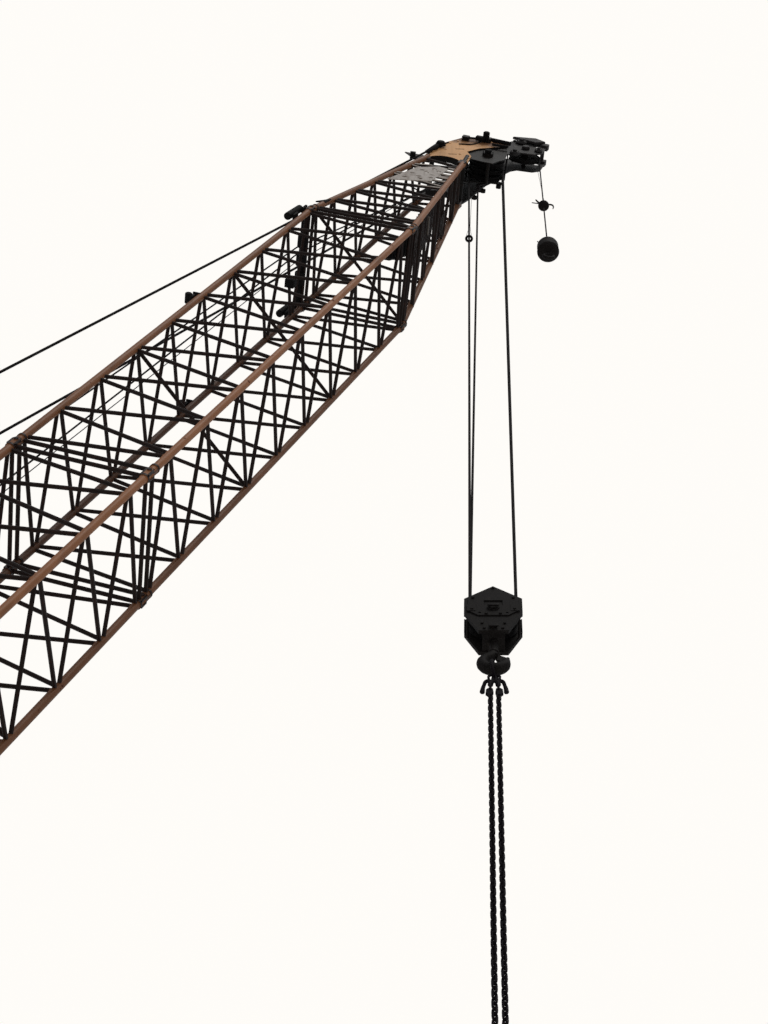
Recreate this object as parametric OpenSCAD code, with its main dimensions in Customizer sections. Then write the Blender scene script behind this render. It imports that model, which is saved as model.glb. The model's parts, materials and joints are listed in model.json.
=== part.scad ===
// Crawler crane with a lattice boom, parked with the boom raised.
// Origin on the ground under the slewing axis, X forward, Y to the left, Z up, millimetres.

/* [Crawlers] */
// Overall length of one crawler over its shoes
track_len = 5900; // [5400:50:6600]
// Overall height of one crawler over its shoes
track_h = 1180; // [1080:10:1260]
// Distance between the middles of the two crawlers
track_gauge = 4300; // [3900:50:4800]
// Width of the shoes
shoe_w = 850; // [700:10:950]
// Thickness of a shoe
shoe_t = 60; // [40:2:80]
// Number of shoes round one crawler
shoe_count = 50; // [40:2:60]
// Width of the crawler's side frame
side_frame_w = 420; // [340:10:480]
// Diameter of the bottom rollers
roller_d = 300; // [240:10:320]
// Number of bottom rollers on one crawler
roller_count = 9; // [6:1:10]

/* [Car body] */
// Length of the car body's middle box
car_l = 2500; // [2200:50:3000]
// Height of the slewing ring's foot above the ground
ring_z = 1250; // [1200:10:1400]
// Height of the slewing ring
ring_h = 160; // [120:10:220]
// Outer diameter of the slewing ring
ring_d = 2000; // [1700:50:2300]

/* [Upper works] */
// Length of the deck ahead of the slewing axis
deck_front = 1350; // [1300:10:1500]
// Length of the deck behind the slewing axis
deck_rear = 3900; // [3700:50:4200]
// Height of the deck's two main beams
deck_h = 320; // [260:10:400]
// Width of the deck over the side platforms
deck_w = 3300; // [3200:20:3500]
// Thickness of the sheet metal of cab and houses
sheet_t = 30; // [20:1:45]
// Width of the cab
cab_w = 950; // [860:10:980]
// Length of the cab
cab_l = 1850; // [1700:10:2000]
// Height of the cab
cab_h = 1750; // [1600:10:1900]
// Height of the machinery houses
house_h = 1400; // [1200:10:1600]
// Length of a counterweight slab
weight_l = 950; // [700:10:1100]
// Height of a counterweight slab
weight_h = 420; // [320:10:480]

/* [Boom] */
// Angle of the boom above level
boom_angle = 74.5; // [73:0.5:76]
// Height of the boom's foot pins above the ground
boom_foot_z = 1880; // [1860:10:1950]
// Distance of the boom's foot pins ahead of the slewing axis
boom_foot_x = 1100; // [1050:10:1150]
// Width of the boom between the middles of its chords
boom_w = 1450; // [1400:10:1500]
// Depth of the boom between the middles of its chords
boom_d = 1490; // [1440:10:1540]
// Length of one lacing panel
panel = 1016; // [1000:1:1030]
// Diameter of the chord tubes
chord_d = 89; // [76:1:102]
// Diameter of the lacing tubes
lace_d = 48; // [38:1:54]
// Half the gap between two lacings where they meet a chord
lace_gap = 38; // [34:1:46]
// Diameter of the posts at the ends of a section
post_d = 50; // [44:2:56]
// Diameter of the pins that join two sections
joint_pin_d = 48; // [40:1:54]

/* [Boom head] */
// Length of the tapered section at the boom's top
tip_l = 4900; // [4700:50:5100]
// Distance of the head sheaves' axis beyond the tapered section
head_l = 734; // [700:10:780]
// Width of the tapered section at its top end
tip_w = 660; // [640:10:680]
// Pitch radius of the head sheaves
sheave_r = 275; // [250:5:280]
// Number of head sheaves
sheave_count = 3; // [2:1:3]
// Distance between neighbouring head sheaves
sheave_step = 110; // [100:5:115]
// Pitch radius of the auxiliary sheave
aux_r = 250; // [230:5:270]
// Thickness of the head's side plates
plate_t = 30; // [20:1:40]

/* [Rigging] */
// Diameter of the hoist rope
rope_d = 22; // [18:1:26]
// Diameter of the pendants
pendant_d = 34; // [28:1:40]
// Half the distance between the two pendants
pendant_y = 390; // [385:1:400]
// Drop from the head sheaves' axis to the block sheaves' axis
block_drop = 15340; // [14000:10:15600]
// Width of the hook block
block_w = 576; // [556:4:600]
// Length of the sling chains below the hook
sling_l = 5240; // [5000:10:5400]
// Diameter of the ball on the auxiliary line
ball_d = 320; // [300:10:340]
// Distance of the gantry head behind the boom's foot pins
gantry_back = 3200; // [3100:50:3300]
// Height of the gantry head above the boom's foot pins
gantry_up = 4850; // [4750:50:4950]

/* [Hidden] */

// Running clearance between a pin or shaft and its bore
fit = 0.2;
// Gap between faces of pieces that move past each other
run_gap = 8;
// Gap of a rope over its groove and of a loose piece over its seat
seat = 0.3;
fn = 48;

// Crawler path
tumbler_r = track_h / 2 - shoe_t;
tumbler_x = track_len / 2 - track_h / 2;
track_y = track_gauge / 2;
track_z = track_h / 2;
axle_d = 120;
link_t = 50;
wheel_r = tumbler_r - link_t - 0.3;
path_len = 4 * tumbler_x + 2 * PI * (tumbler_r + shoe_t / 2);
shoe_pitch = path_len / shoe_count;
shoe_gap = 35;

// Upper works
deck_z = ring_z + ring_h;
floor_z = deck_z + deck_h;
beam_w = 230;
beam_y = boom_w / 2;
cab_x = 620;
cab_y = -deck_w / 2 - 250;
cab_z = deck_z + 60;
house_w = 850;
winch_z = floor_z + 330;
drum_r = 230;
drum_l = 800;
winch_x = [-250, -1200, -2150];
weight_x = -deck_rear - 300;

// Boom stations from the foot pins, and the pitch of its sections
foot_end = 6 * panel;
short_end = foot_end + 3 * panel;
lower_end = short_end + 9 * panel;
upper_end = lower_end + 9 * panel;
tip_end = upper_end + tip_l;
foot_lug = 420;
head_top = 440;
head_belly = -160;
axis_u = tip_end + head_l;
axis_w = -374;
aux_u = axis_u + 1340;
aux_w = axis_w - 325;
pin_u = axis_u - 104;
pin_w = 415;

// Joint of two sections: chord ends, lugs, the collar behind them, the posts and the first lacing
lug_r = chord_d / 2 + 6;
chord_in = lug_r + run_gap;
eye_t = 44;
fork_t = 20;
fork_y = (eye_t + fork_t) / 2 + 2;
lug_l = 118;
collar_l = 28;
post_in = 85;
first_in = 180;
end_block_l = 170;
end_block_w = 112;

// Gantry head behind and above the boom's foot pins, and the fall of rope to the bridle
gantry_x = boom_foot_x - gantry_back;
gantry_z = boom_foot_z + gantry_up;
falls_l = 5000;
luff_sheave_r = 200;
luff_sheave_n = 5;
luff_sheave_step = 130;

// Frame of the raised boom, its ends and the direction of the pendants
boom_u = [cos(boom_angle), 0, sin(boom_angle)];
boom_n = [-sin(boom_angle), 0, cos(boom_angle)];
foot_pin = [boom_foot_x, 0, boom_foot_z];
function on_boom(u, w) = foot_pin + u * boom_u + w * boom_n;
head_pin = on_boom(pin_u, pin_w);
head_axis = on_boom(axis_u, axis_w);
aux_axis = on_boom(aux_u, aux_w);
gantry_pin = [gantry_x, 0, gantry_z];
stay = head_pin - gantry_pin;
stay_l = norm(stay);
stay_angle = atan2(stay[2], stay[0]);
bridle_pin = gantry_pin + stay * falls_l / stay_l;
block_z = -block_drop;

// Round bar between two points
module bar(p, q, d, f = 16, turn = 0) {
    v = q - p;
    translate(p) rotate([0, acos(v[2] / norm(v)), atan2(v[1], v[0])]) rotate([0, 0, turn])
        cylinder(d = d, h = norm(v), $fn = f);
}

// Cylinder of length l centred at p, along Y
module drum_y(p, r, l, f = fn) {
    translate(p) rotate([90, 0, 0]) cylinder(r = r, h = l, center = true, $fn = f);
}

// Block centred in Y at y, from [x0, z0] to [x1, z1]
module slab(x0, x1, z0, z1, y, w) {
    translate([x0, y - w / 2, z0]) cube([x1 - x0, w, z1 - z0]);
}

// Plate of an outline drawn in X and Z, centred in Y at y
module plate_y(outline, y, t) {
    translate([0, y + t / 2, 0]) rotate([90, 0, 0]) linear_extrude(t) polygon(outline);
}

// Children turned into the frame of the raised boom, whose X runs along the boom
module boom_frame() {
    translate(foot_pin) rotate([0, -boom_angle, 0]) children();
}

// Children turned so that X runs from the gantry head along the pendants
module stay_frame() {
    translate(gantry_pin) rotate([0, -stay_angle, 0]) children();
}

// Point on the crawler's path and the turn of its shoe there, for a distance along it
arc_r = tumbler_r + shoe_t / 2;
function path_point(s) = let (a = 2 * tumbler_x, b = PI * arc_r)
    s < a ? [s - tumbler_x, -arc_r, 0]
    : s < a + b ? let (t = (s - a) / arc_r * 180 / PI) [tumbler_x + arc_r * sin(t), -arc_r * cos(t), t]
    : s < 2 * a + b ? [tumbler_x - (s - a - b), arc_r, 180]
    : let (t = (s - 2 * a - b) / arc_r * 180 / PI) [-tumbler_x - arc_r * sin(t), arc_r * cos(t), 180 + t];

module track(side) {
    color("dimgray") translate([0, side * track_y + shoe_w / 2, track_z]) rotate([90, 0, 0])
        linear_extrude(shoe_w) difference() {
            intersection() {
                square([track_len, track_h], center = true);
                union() {
                    for (i = [0:shoe_count - 1]) let (p = path_point((i + 0.5) * shoe_pitch))
                        translate([p[0], p[1]]) rotate(p[2]) square([shoe_pitch - shoe_gap, shoe_t], center = true);
                    stadium(tumbler_r + 1);
                }
            }
            stadium(tumbler_r - link_t);
        }
}

// Outline of two half circles of radius r joined by straights
module stadium(r) {
    for (s = [-1, 1]) translate([s * tumbler_x, 0]) circle(r, $fn = 64);
    translate([-tumbler_x, -r]) square([2 * tumbler_x, 2 * r]);
}

// Side frame: a box over the rollers, side plates down to their axles and cheeks for both end wheels
cheek_t = 50;
roller_z = shoe_t + link_t + roller_d / 2 + 0.3;
roller_span = 2 * tumbler_x - 1250;
roller_axle_r = 35;
function roller_x(i) = roller_span * (i / (roller_count - 1) - 0.5);
module track_frame(side) {
    box_z = roller_z + roller_d / 2 + 20;
    color("saddlebrown") difference() {
        union() {
            slab(-tumbler_x + 490, tumbler_x - 490, box_z, track_h - 260, side * track_y, side_frame_w);
            for (e = [-1, 1]) {
                cheek_y = side * track_y + e * (side_frame_w - cheek_t) / 2;
                slab(-roller_span / 2 - 90, roller_span / 2 + 90, roller_z - 70, box_z + 10, cheek_y, cheek_t);
                for (s = [-1, 1]) slab(s * (tumbler_x - 220) - 280, s * (tumbler_x - 220) + 280,
                    track_z - 150, track_z + 150, cheek_y, cheek_t);
            }
        }
        for (s = [-1, 1])
            drum_y([s * tumbler_x, side * track_y, track_z], axle_d / 2 + fit, side_frame_w + 2);
        for (i = [0:roller_count - 1])
            drum_y([roller_x(i), side * track_y, roller_z], roller_axle_r + fit, side_frame_w + 2);
    }
}

module sprocket(side) {
    color("dimgray") {
        drum_y([-tumbler_x, side * track_y, track_z], wheel_r - 60, side_frame_w - 130);
        drum_y([-tumbler_x, side * track_y, track_z], axle_d / 2, side_frame_w + 120);
        translate([-tumbler_x, side * track_y, track_z]) for (i = [0:11]) rotate([0, i * 30, 0])
            translate([wheel_r - 80, 0, 0]) cube([150, side_frame_w - 130, 90], center = true);
    }
}

module idler(side) {
    color("dimgray") {
        drum_y([tumbler_x, side * track_y, track_z], wheel_r, side_frame_w - 130);
        drum_y([tumbler_x, side * track_y, track_z], axle_d / 2, side_frame_w + 120);
    }
}

module rollers(side) {
    color("gray") for (i = [0:roller_count - 1]) {
        drum_y([roller_x(i), side * track_y, roller_z], roller_d / 2, side_frame_w - 2 * cheek_t - 4);
        drum_y([roller_x(i), side * track_y, roller_z], roller_axle_r, side_frame_w + 20);
    }
}

module car_body() {
    beam_l = track_gauge - side_frame_w;
    color("saddlebrown") {
        translate([0, 0, (520 + ring_z) / 2]) cube([car_l, 1900, ring_z - 520], center = true);
        for (s = [-1, 1]) translate([s * (car_l / 2 - 220), 0, 800])
            cube([440, beam_l, 420], center = true);
    }
}

module slew_ring() {
    color("gray") translate([0, 0, ring_z]) difference() {
        cylinder(d = ring_d, h = ring_h - run_gap, $fn = 96);
        translate([0, 0, -1]) cylinder(d = ring_d - 300, h = ring_h + 2, $fn = 96);
    }
}

module deck() {
    color("sienna") difference() {
        union() {
            for (s = [-1, 1]) {
                slab(-deck_rear, deck_front, deck_z, floor_z, s * beam_y, beam_w);
                slab(-deck_rear, 500, floor_z - 80, floor_z, s * (deck_w / 4 + beam_y / 2 + beam_w / 4), deck_w / 2 - beam_y - beam_w / 2);
                for (x = winch_x) slab(x - 150, x + 150, deck_z + 50, winch_z + 90, s * (drum_l / 2 + 50), 60);
                for (e = [-1, 1]) plate_y([[boom_foot_x - 300, floor_z - 10], [deck_front, floor_z - 10],
                    [boom_foot_x + 110, boom_foot_z + 110], [boom_foot_x - 110, boom_foot_z + 110]],
                    s * boom_w / 2 + e * 85, 50);
            }
            slab(-deck_rear, deck_front, deck_z, deck_z + 60, 0, 2 * beam_y);
            cab_beam();
        }
        for (s = [-1, 1]) drum_y([boom_foot_x, s * boom_w / 2, boom_foot_z], 40 + fit, 300);
        for (x = winch_x) drum_y([x, 0, winch_z], 50 + fit, drum_l + 300);
    }
}

module cab_beam() {
    slab(400, cab_x + cab_l - 150, deck_z, cab_z, -deck_w / 2 + 100, 300);
    slab(400, 560, deck_z, cab_z, -deck_w / 4 - 200, deck_w / 2 - beam_y);
}

// Cab shell with its windows and doorway cut
module cab() {
    t = sheet_t;
    color("burlywood") translate([cab_x, cab_y, cab_z]) {
        difference() {
            cube([cab_l, cab_w, cab_h]);
            translate([t, t, t]) cube([cab_l - 2 * t, cab_w - 2 * t, cab_h - 2 * t]);
            translate([cab_l - 2 * t, 90, 500]) cube([3 * t, cab_w - 180, cab_h - 620]);
            translate([cab_l - 700, -t, 750]) cube([580, 3 * t, cab_h - 900]);
            translate([door_x, -t, 80]) cube([door_l, 3 * t, cab_h - 200]);
            translate([300, cab_w - 2 * t, 750]) cube([cab_l - 500, 3 * t, cab_h - 900]);
            translate([-t, 150, 850]) cube([3 * t, cab_w - 300, cab_h - 1050]);
            translate([cab_l - 800, 200, cab_h - 2 * t]) cube([500, cab_w - 400, 3 * t]);
        }
        hinge_lugs();
    }
}
door_x = 180;
door_l = 850;

// Door on two hinges outside the cab's wall, whose pins stand in lugs on the wall
hinge_y = -16;
hinge_r = 14;
HINGE_Z = [260, cab_h - 480];
module cab_door() {
    t = sheet_t;
    color("burlywood") translate([cab_x + door_x, cab_y, cab_z]) {
        difference() {
            translate([run_gap, 0, 80 + run_gap]) cube([door_l - 2 * run_gap, t, cab_h - 200 - 2 * run_gap]);
            translate([110, -1, 700]) cube([door_l - 220, t + 2, cab_h - 960]);
        }
        for (z = HINGE_Z) {
            translate([0, hinge_y, z - 60]) cylinder(r = 8, h = 120, $fn = 32);
            translate([0, hinge_y, z + 2]) cylinder(r = hinge_r, h = 56, $fn = 32);
            translate([0, hinge_y - 5, z + 2]) cube([80, -hinge_y + 6, 56]);
        }
    }
}

// Hinge lugs on the cab's wall
module hinge_lugs() {
    translate([door_x, 0, 0]) for (z = HINGE_Z) difference() {
        union() {
            translate([0, hinge_y, z - 56]) cylinder(r = hinge_r, h = 56, $fn = 32);
            translate([-80, hinge_y - 5, z - 56]) cube([80, -hinge_y + 6, 56]);
        }
        translate([0, hinge_y, z - 70]) cylinder(r = 8 + fit, h = 140, $fn = 32);
    }
}

// Window panes set in the middle of the walls
module cab_glass() {
    t = sheet_t;
    g = 6;
    color("lightblue") translate([cab_x, cab_y, cab_z]) {
        translate([cab_l - t / 2 - g / 2, 90, 500]) cube([g, cab_w - 180, cab_h - 620]);
        translate([cab_l - 700, t / 2 - g / 2, 750]) cube([580, g, cab_h - 900]);
        translate([300, cab_w - t / 2 - g / 2, 750]) cube([cab_l - 500, g, cab_h - 900]);
        translate([t / 2 - g / 2, 150, 850]) cube([g, cab_w - 300, cab_h - 1050]);
        translate([cab_l - 800, 200, cab_h - t / 2 - g / 2]) cube([500, cab_w - 400, g]);
    }
}

module operator_seat() {
    color("black") translate([cab_x + 450, cab_y + cab_w / 2 - 250, cab_z + sheet_t]) {
        translate([100, 150, 0]) cube([250, 200, 360]);
        translate([0, 0, 360]) cube([520, 500, 120]);
        translate([0, 0, 480]) cube([120, 500, 600]);
    }
}

// Hollow house open underneath, standing on the deck
module house(x0, x1, y) {
    t = sheet_t;
    difference() {
        slab(x0, x1, floor_z, floor_z + house_h, y, house_w);
        slab(x0 + t, x1 - t, floor_z - 1, floor_z + house_h - t, y, house_w - 2 * t);
    }
}

house_y = deck_w / 2 - house_w / 2;
house_x0 = -deck_rear + weight_l - 200;
module engine_house() { color("burlywood") house(house_x0, 300, house_y); }
module tank_house() { color("burlywood") house(house_x0, 300, -house_y); }
module engine() { color("gray") slab(-2500, -900, floor_z, floor_z + 1100, house_y, 720); }

// Stack of slabs across the deck's tail
module weight_slab(i) {
    color("saddlebrown") translate([weight_x, -deck_w / 2, floor_z + i * weight_h])
        cube([weight_l, deck_w, weight_h]);
}
module counterweight_base() { weight_slab(0); }
module counterweight_lower() { weight_slab(1); }
module counterweight_upper() { weight_slab(2); }

// Frame legs of the gantry: [foot x, diameter]
GANTRY_LEGS = [[-650, 140], [-3000, 110]];
gantry_y = deck_w / 2 - house_w - 120;
leg_foot_h = 120;
function leg_point(g, k) = [g[0] + (gantry_x - g[0]) * k, 0,
    floor_z + leg_foot_h / 2 + (gantry_z - floor_z - leg_foot_h / 2) * k];
module gantry() {
    color("sienna") difference() {
        union() {
            for (s = [-1, 1]) {
                for (g = GANTRY_LEGS)
                    bar([g[0], s * gantry_y, floor_z + leg_foot_h / 2], [gantry_x, s * gantry_y, gantry_z], g[1]);
                for (g = GANTRY_LEGS) slab(g[0] - 150, g[0] + 150, floor_z, floor_z + leg_foot_h, s * gantry_y, 130);
                drum_y([gantry_x, s * gantry_y, gantry_z], 150, 120);
            }
            for (g = GANTRY_LEGS) {
                p = leg_point(g, 0.45);
                drum_y(p, 45, 2 * gantry_y);
            }
        }
        drum_y([gantry_x, 0, gantry_z], 45 + fit, 2 * gantry_y + 200);
    }
}

// Grooved sheave of pitch radius r, centred at y on its axis
module sheave(p, r, y, w) {
    translate(p + [0, y, 0]) rotate([90, 0, 0]) rotate_extrude($fn = fn) polygon([[40, -w / 2], [r + 18, -w / 2],
        [r + 18, -w / 2 + 4], [r - rope_d / 2 - seat, -rope_d / 2 - seat], [r - rope_d / 2 - seat, rope_d / 2 + seat],
        [r + 18, w / 2 - 4], [r + 18, w / 2], [40, w / 2]]);
}

// Row of sheaves on one hub, with their pin through it
module sheave_row(p, r, n, step, w, pin_l, pin_r) {
    for (i = [0:n - 1]) sheave(p, r, (i - (n - 1) / 2) * step, w);
    drum_y(p, 75, (n - 1) * step + w);
    drum_y(p, pin_r, pin_l);
}

module gantry_sheaves() {
    color("dimgray") sheave_row(gantry_pin, luff_sheave_r, luff_sheave_n, luff_sheave_step, 60,
        2 * gantry_y + 180, 45);
}

// Rope falls of the luffing tackle: one set leaves the gantry head, the other leaves the bridle
falls_short = 720;
module fall_set(x, z) {
    for (i = [0:luff_sheave_n - 1]) translate([x, (i - (luff_sheave_n - 1) / 2) * luff_sheave_step, z])
        rotate([0, 90, 0]) cylinder(d = rope_d, h = falls_l - falls_short, $fn = 12);
}
module luffing_falls() { color("black") stay_frame() fall_set(0, luff_sheave_r); }

// One winch drum along Y between its cheeks
module winch(x) {
    color("dimgray") {
        drum_y([x, 0, winch_z], drum_r, drum_l);
        for (s = [-1, 1]) drum_y([x, s * (drum_l / 2 - 20), winch_z], drum_r + 110, 40);
        drum_y([x, 0, winch_z], 50, drum_l + 200);
    }
}
module main_winch() { winch(winch_x[0]); }
module auxiliary_winch() { winch(winch_x[1]); }
module luffing_winch() { winch(winch_x[2]); }

// Boom sections: [start, end, width at start and end, belly at start and end, top at start and end, panels]
SECTIONS = [
    [foot_lug, foot_end, boom_w, boom_w, -105, -boom_d / 2, 105, boom_d / 2, 5],
    [foot_end, short_end, boom_w, boom_w, -boom_d / 2, -boom_d / 2, boom_d / 2, boom_d / 2, 3],
    [short_end, lower_end, boom_w, boom_w, -boom_d / 2, -boom_d / 2, boom_d / 2, boom_d / 2, 9],
    [lower_end, upper_end, boom_w, boom_w, -boom_d / 2, -boom_d / 2, boom_d / 2, boom_d / 2, 9],
    [upper_end, tip_end, boom_w, tip_w, -boom_d / 2, head_belly, boom_d / 2, head_top, 6]];

// Point on a chord of section s: side -1 right or 1 left, level -1 belly or 1 top, k from 0 to 1
function chord(s, side, level, k) = [s[0] + (s[1] - s[0]) * k, side * (s[2] + (s[3] - s[2]) * k) / 2,
    level < 0 ? s[4] + (s[5] - s[4]) * k : s[6] + (s[7] - s[6]) * k];

// Faces of the boom: [side and level of the chord with whole stations, the same of the half-station chord]
FACES = [[[-1, 1], [-1, -1]], [[1, -1], [-1, -1]], [[1, -1], [1, 1]], [[-1, 1], [1, 1]]];

module section(s, last_in = chord_in) {
    n = s[8];
    l = s[1] - s[0];
    g = lace_gap / l;
    f = first_in / l;
    for (side = [-1, 1]) for (level = [-1, 1])
        bar(chord(s, side, level, chord_in / l), chord(s, side, level, 1 - last_in / l), chord_d, 24, 45);
    for (c = FACES) for (i = [0:n - 1]) {
        middle = (i + 0.5) / n;
        bar(chord(s, c[0][0], c[0][1], i / n + (i > 0 ? g : f)), chord(s, c[1][0], c[1][1], middle - g), lace_d, 8);
        bar(chord(s, c[0][0], c[0][1], (i + 1) / n - (i < n - 1 ? g : f)),
            chord(s, c[1][0], c[1][1], middle + g), lace_d, 8);
    }
}

// Posts in all four faces of section s, at the share k of its length
module posts(s, k) {
    for (c = FACES) bar(chord(s, c[0][0], c[0][1], k), chord(s, c[1][0], c[1][1], k), post_d, 8);
}

// Tie across the inside of section s, from the right top chord to the left belly chord
module cross_tie(s, k) {
    bar(chord(s, -1, 1, k), chord(s, 1, -1, k), lace_d, 8);
}

// Lug with a round end at the joint, and its shank of length l towards the section
module lug(y, t, l) {
    drum_y([0, y, 0], lug_r, t);
    slab(min(0, l), max(0, l), -lug_r, lug_r, y, t);
}

// End k of section s: forks with their pins at 1, eyes at 0, with collars on the chords and posts between them
module section_end(s, k) {
    way = k > 0 ? -1 : 1;
    l = s[1] - s[0];
    for (side = [-1, 1]) for (level = [-1, 1]) {
        translate(chord(s, side, level, k)) {
            if (k > 0) {
                for (e = [-1, 1]) lug(e * fork_y, fork_t, way * lug_l);
                drum_y([0, 0, 0], joint_pin_d / 2, 2 * fork_y + fork_t + 30);
            }
            else difference() {
                lug(0, eye_t, way * lug_l);
                drum_y([0, 0, 0], joint_pin_d / 2 + fit, eye_t + 2);
            }
        }
        bar(chord(s, side, level, k + way * lug_l / l), chord(s, side, level, k + way * (lug_l + collar_l) / l),
            2 * lug_r + 10, 24, 45);
    }
    posts(s, k + way * post_in / l);
}

// Struts that stop the raised boom against the gantry: their places along the boom and above it
stop_u = 4570;
stop_end = [3300, 3140];
module boom_foot() {
    color("peru") boom_frame() {
        section(SECTIONS[0]);
        section_end(SECTIONS[0], 1);
        cross_tie(SECTIONS[0], 0.6);
        for (s = [-1, 1]) {
            difference() {
                union() {
                    drum_y([0, s * boom_w / 2, 0], 95, 100);
                    plate_y([[0, -80], [foot_lug + 200, -175], [foot_lug + 200, 175], [0, 80]], s * boom_w / 2, 70);
                }
                drum_y([0, s * boom_w / 2, 0], 40 + fit, 200);
            }
            drum_y([0, s * boom_w / 2, 0], 40, 220);
            stop_w = chord(SECTIONS[0], 1, 1, (stop_u - foot_lug) / (foot_end - foot_lug))[2];
            bar([stop_u, s * boom_w / 2, stop_w], [stop_end[0], s * gantry_y, stop_end[1]], 76, 12);
            bar([stop_end[0] + 70, s * gantry_y, stop_end[1] - 130], [stop_end[0] - 10, s * gantry_y, stop_end[1] + 20],
                120, 12);
        }
    }
}
module boom_insert(i) {
    n = SECTIONS[i][8];
    color("peru") boom_frame() {
        section(SECTIONS[i]);
        for (k = [0, 1]) section_end(SECTIONS[i], k);
        for (k = [3:3:n - 1]) cross_tie(SECTIONS[i], k / n);
    }
}
module boom_insert_short() { boom_insert(1); }
module boom_insert_lower() { boom_insert(2); }
module boom_insert_upper() { boom_insert(3); }
// Side face of the tip as a flat frame: X along the boom from the tip's start, Z towards its top
tip_turn = atan((boom_w - tip_w) / 2 / tip_l);
module tip_side(side) {
    translate([upper_end, side * boom_w / 2, 0]) rotate([0, 0, -side * tip_turn]) children();
}

// Perforated plate on the right side, with the steps between it and the belly chord
PANEL_PLATE = [[2700, 450], [3870, 330], [4240, 60], [4160, -110], [3100, -130]];
PANEL_HOLES = [[3060, 290], [3290, 120], [3520, -30], [3420, 260], [3640, 100], [3860, -40], [3760, 200],
    [3960, 60], [3330, -60], [3140, 60]];
STEPS = [3250, 3500, 3750, 4000, 4250, 4500];
panel_t = 14;
module tip_panel() {
    tip_side(-1) {
        difference() {
            plate_y(PANEL_PLATE, -20, panel_t);
            for (h = PANEL_HOLES) drum_y([h[0], -20, h[1]], 42, panel_t + 2);
        }
        for (x = STEPS) slab(x - 25, x + 25, -745 + 0.119 * x, -90, -12, 30);
    }
}

// Ribbed plates and rollers under the belly: [start, end, right edge, left edge] from the tip's start
BELLY_PLATES = [[250, 1950, -600, -60], [2750, 3200, -60, 300]];
BELLY_ROLLERS = [700, 2300, 4000];
function belly_w(x) = -boom_d / 2 + (head_belly + boom_d / 2) * x / tip_l;
function tip_y(x) = (boom_w + (tip_w - boom_w) * x / tip_l) / 2;
module belly_gear() {
    for (p = BELLY_PLATES) {
        w = belly_w(p[0]) + 20;
        y = (p[2] + p[3]) / 2;
        translate([upper_end + p[0], y, w]) rotate([0, -atan2(head_belly + boom_d / 2, tip_l), 0]) {
            slab(0, p[1] - p[0], -8, 8, 0, p[3] - p[2]);
            for (x = [40:120:p[1] - p[0]]) slab(x, x + 20, -40, 0, 0, p[3] - p[2]);
        }
    }
    for (x = BELLY_ROLLERS) {
        drum_y([upper_end + x, 0, belly_w(x) - 20], 32, 2 * tip_y(x));
    }
}

// Bracket on the right top chord near the head, with its thin stay
WING = [[4480, 470], [4880, 830], [4965, 850], [5120, 560], [4890, 450]];
module boom_tip() {
    s = SECTIONS[4];
    wing_y = -tip_w / 2 - 8;
    color("peru") boom_frame() {
        section(s, run_gap);
        section_end(s, 0);
        cross_tie(s, post_in / tip_l);
        for (side = [-1, 1]) {
            translate(chord(s, side, -1, 1) - [end_block_l, end_block_w / 2, end_block_w / 2])
                cube([end_block_l, end_block_w, end_block_w]);
            translate(chord(s, side, 1, 1) - [120, side * 20 + 40, 60]) cube([120, 80, 88]);
        }
        tip_panel();
        belly_gear();
        translate([upper_end, 0, 0]) {
            plate_y([for (p = WING) p[0] < 4900 ? p : [4898, min(p[1], 830)]], wing_y, 12);
            bar([4450, -tip_y(4450), 470], [4860, wing_y, 800], 20, 8);
        }
    }
}

// Outlines from the tip's end: side plate, the arch cut into it, and the inner cheek that carries the sheaves
HEAD_PLATE = [[0, -225], [0, 500], [776, 500], [930, 430], [1421, 250], [1551, -204], [1474, -521], [1382, -545],
    [950, -160], [653, -40], [420, -175]];
FAR_PLATE = [[0, -225], [0, 500], [776, 500], [930, 430], [1421, 250], [1551, -204], [1490, -534], [1430, -520],
    [1396, -331], [1177, -285], [300, -262]];
CHEEK = [[430, 120], [350, -380], [350, -560], [740, -665], [1010, -630], [1390, -530], [1390, -190], [1000, 60]];
MID_PLATE = [[430, 120], [380, -120], [540, -470], [640, -625], [960, -585], [1370, -440], [1390, -190], [1330, 230],
    [1000, 200]];
mid_y = 80;
SLOTS = [[355, 130], [720, 104], [1022, 82]];
arch_r = 270;
arch_at = [-100, 150];
web_t = 20;
web_y = tip_w / 2 - plate_t / 2 - web_t / 2 + 1;
web_r = sheave_r + 25;
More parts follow.
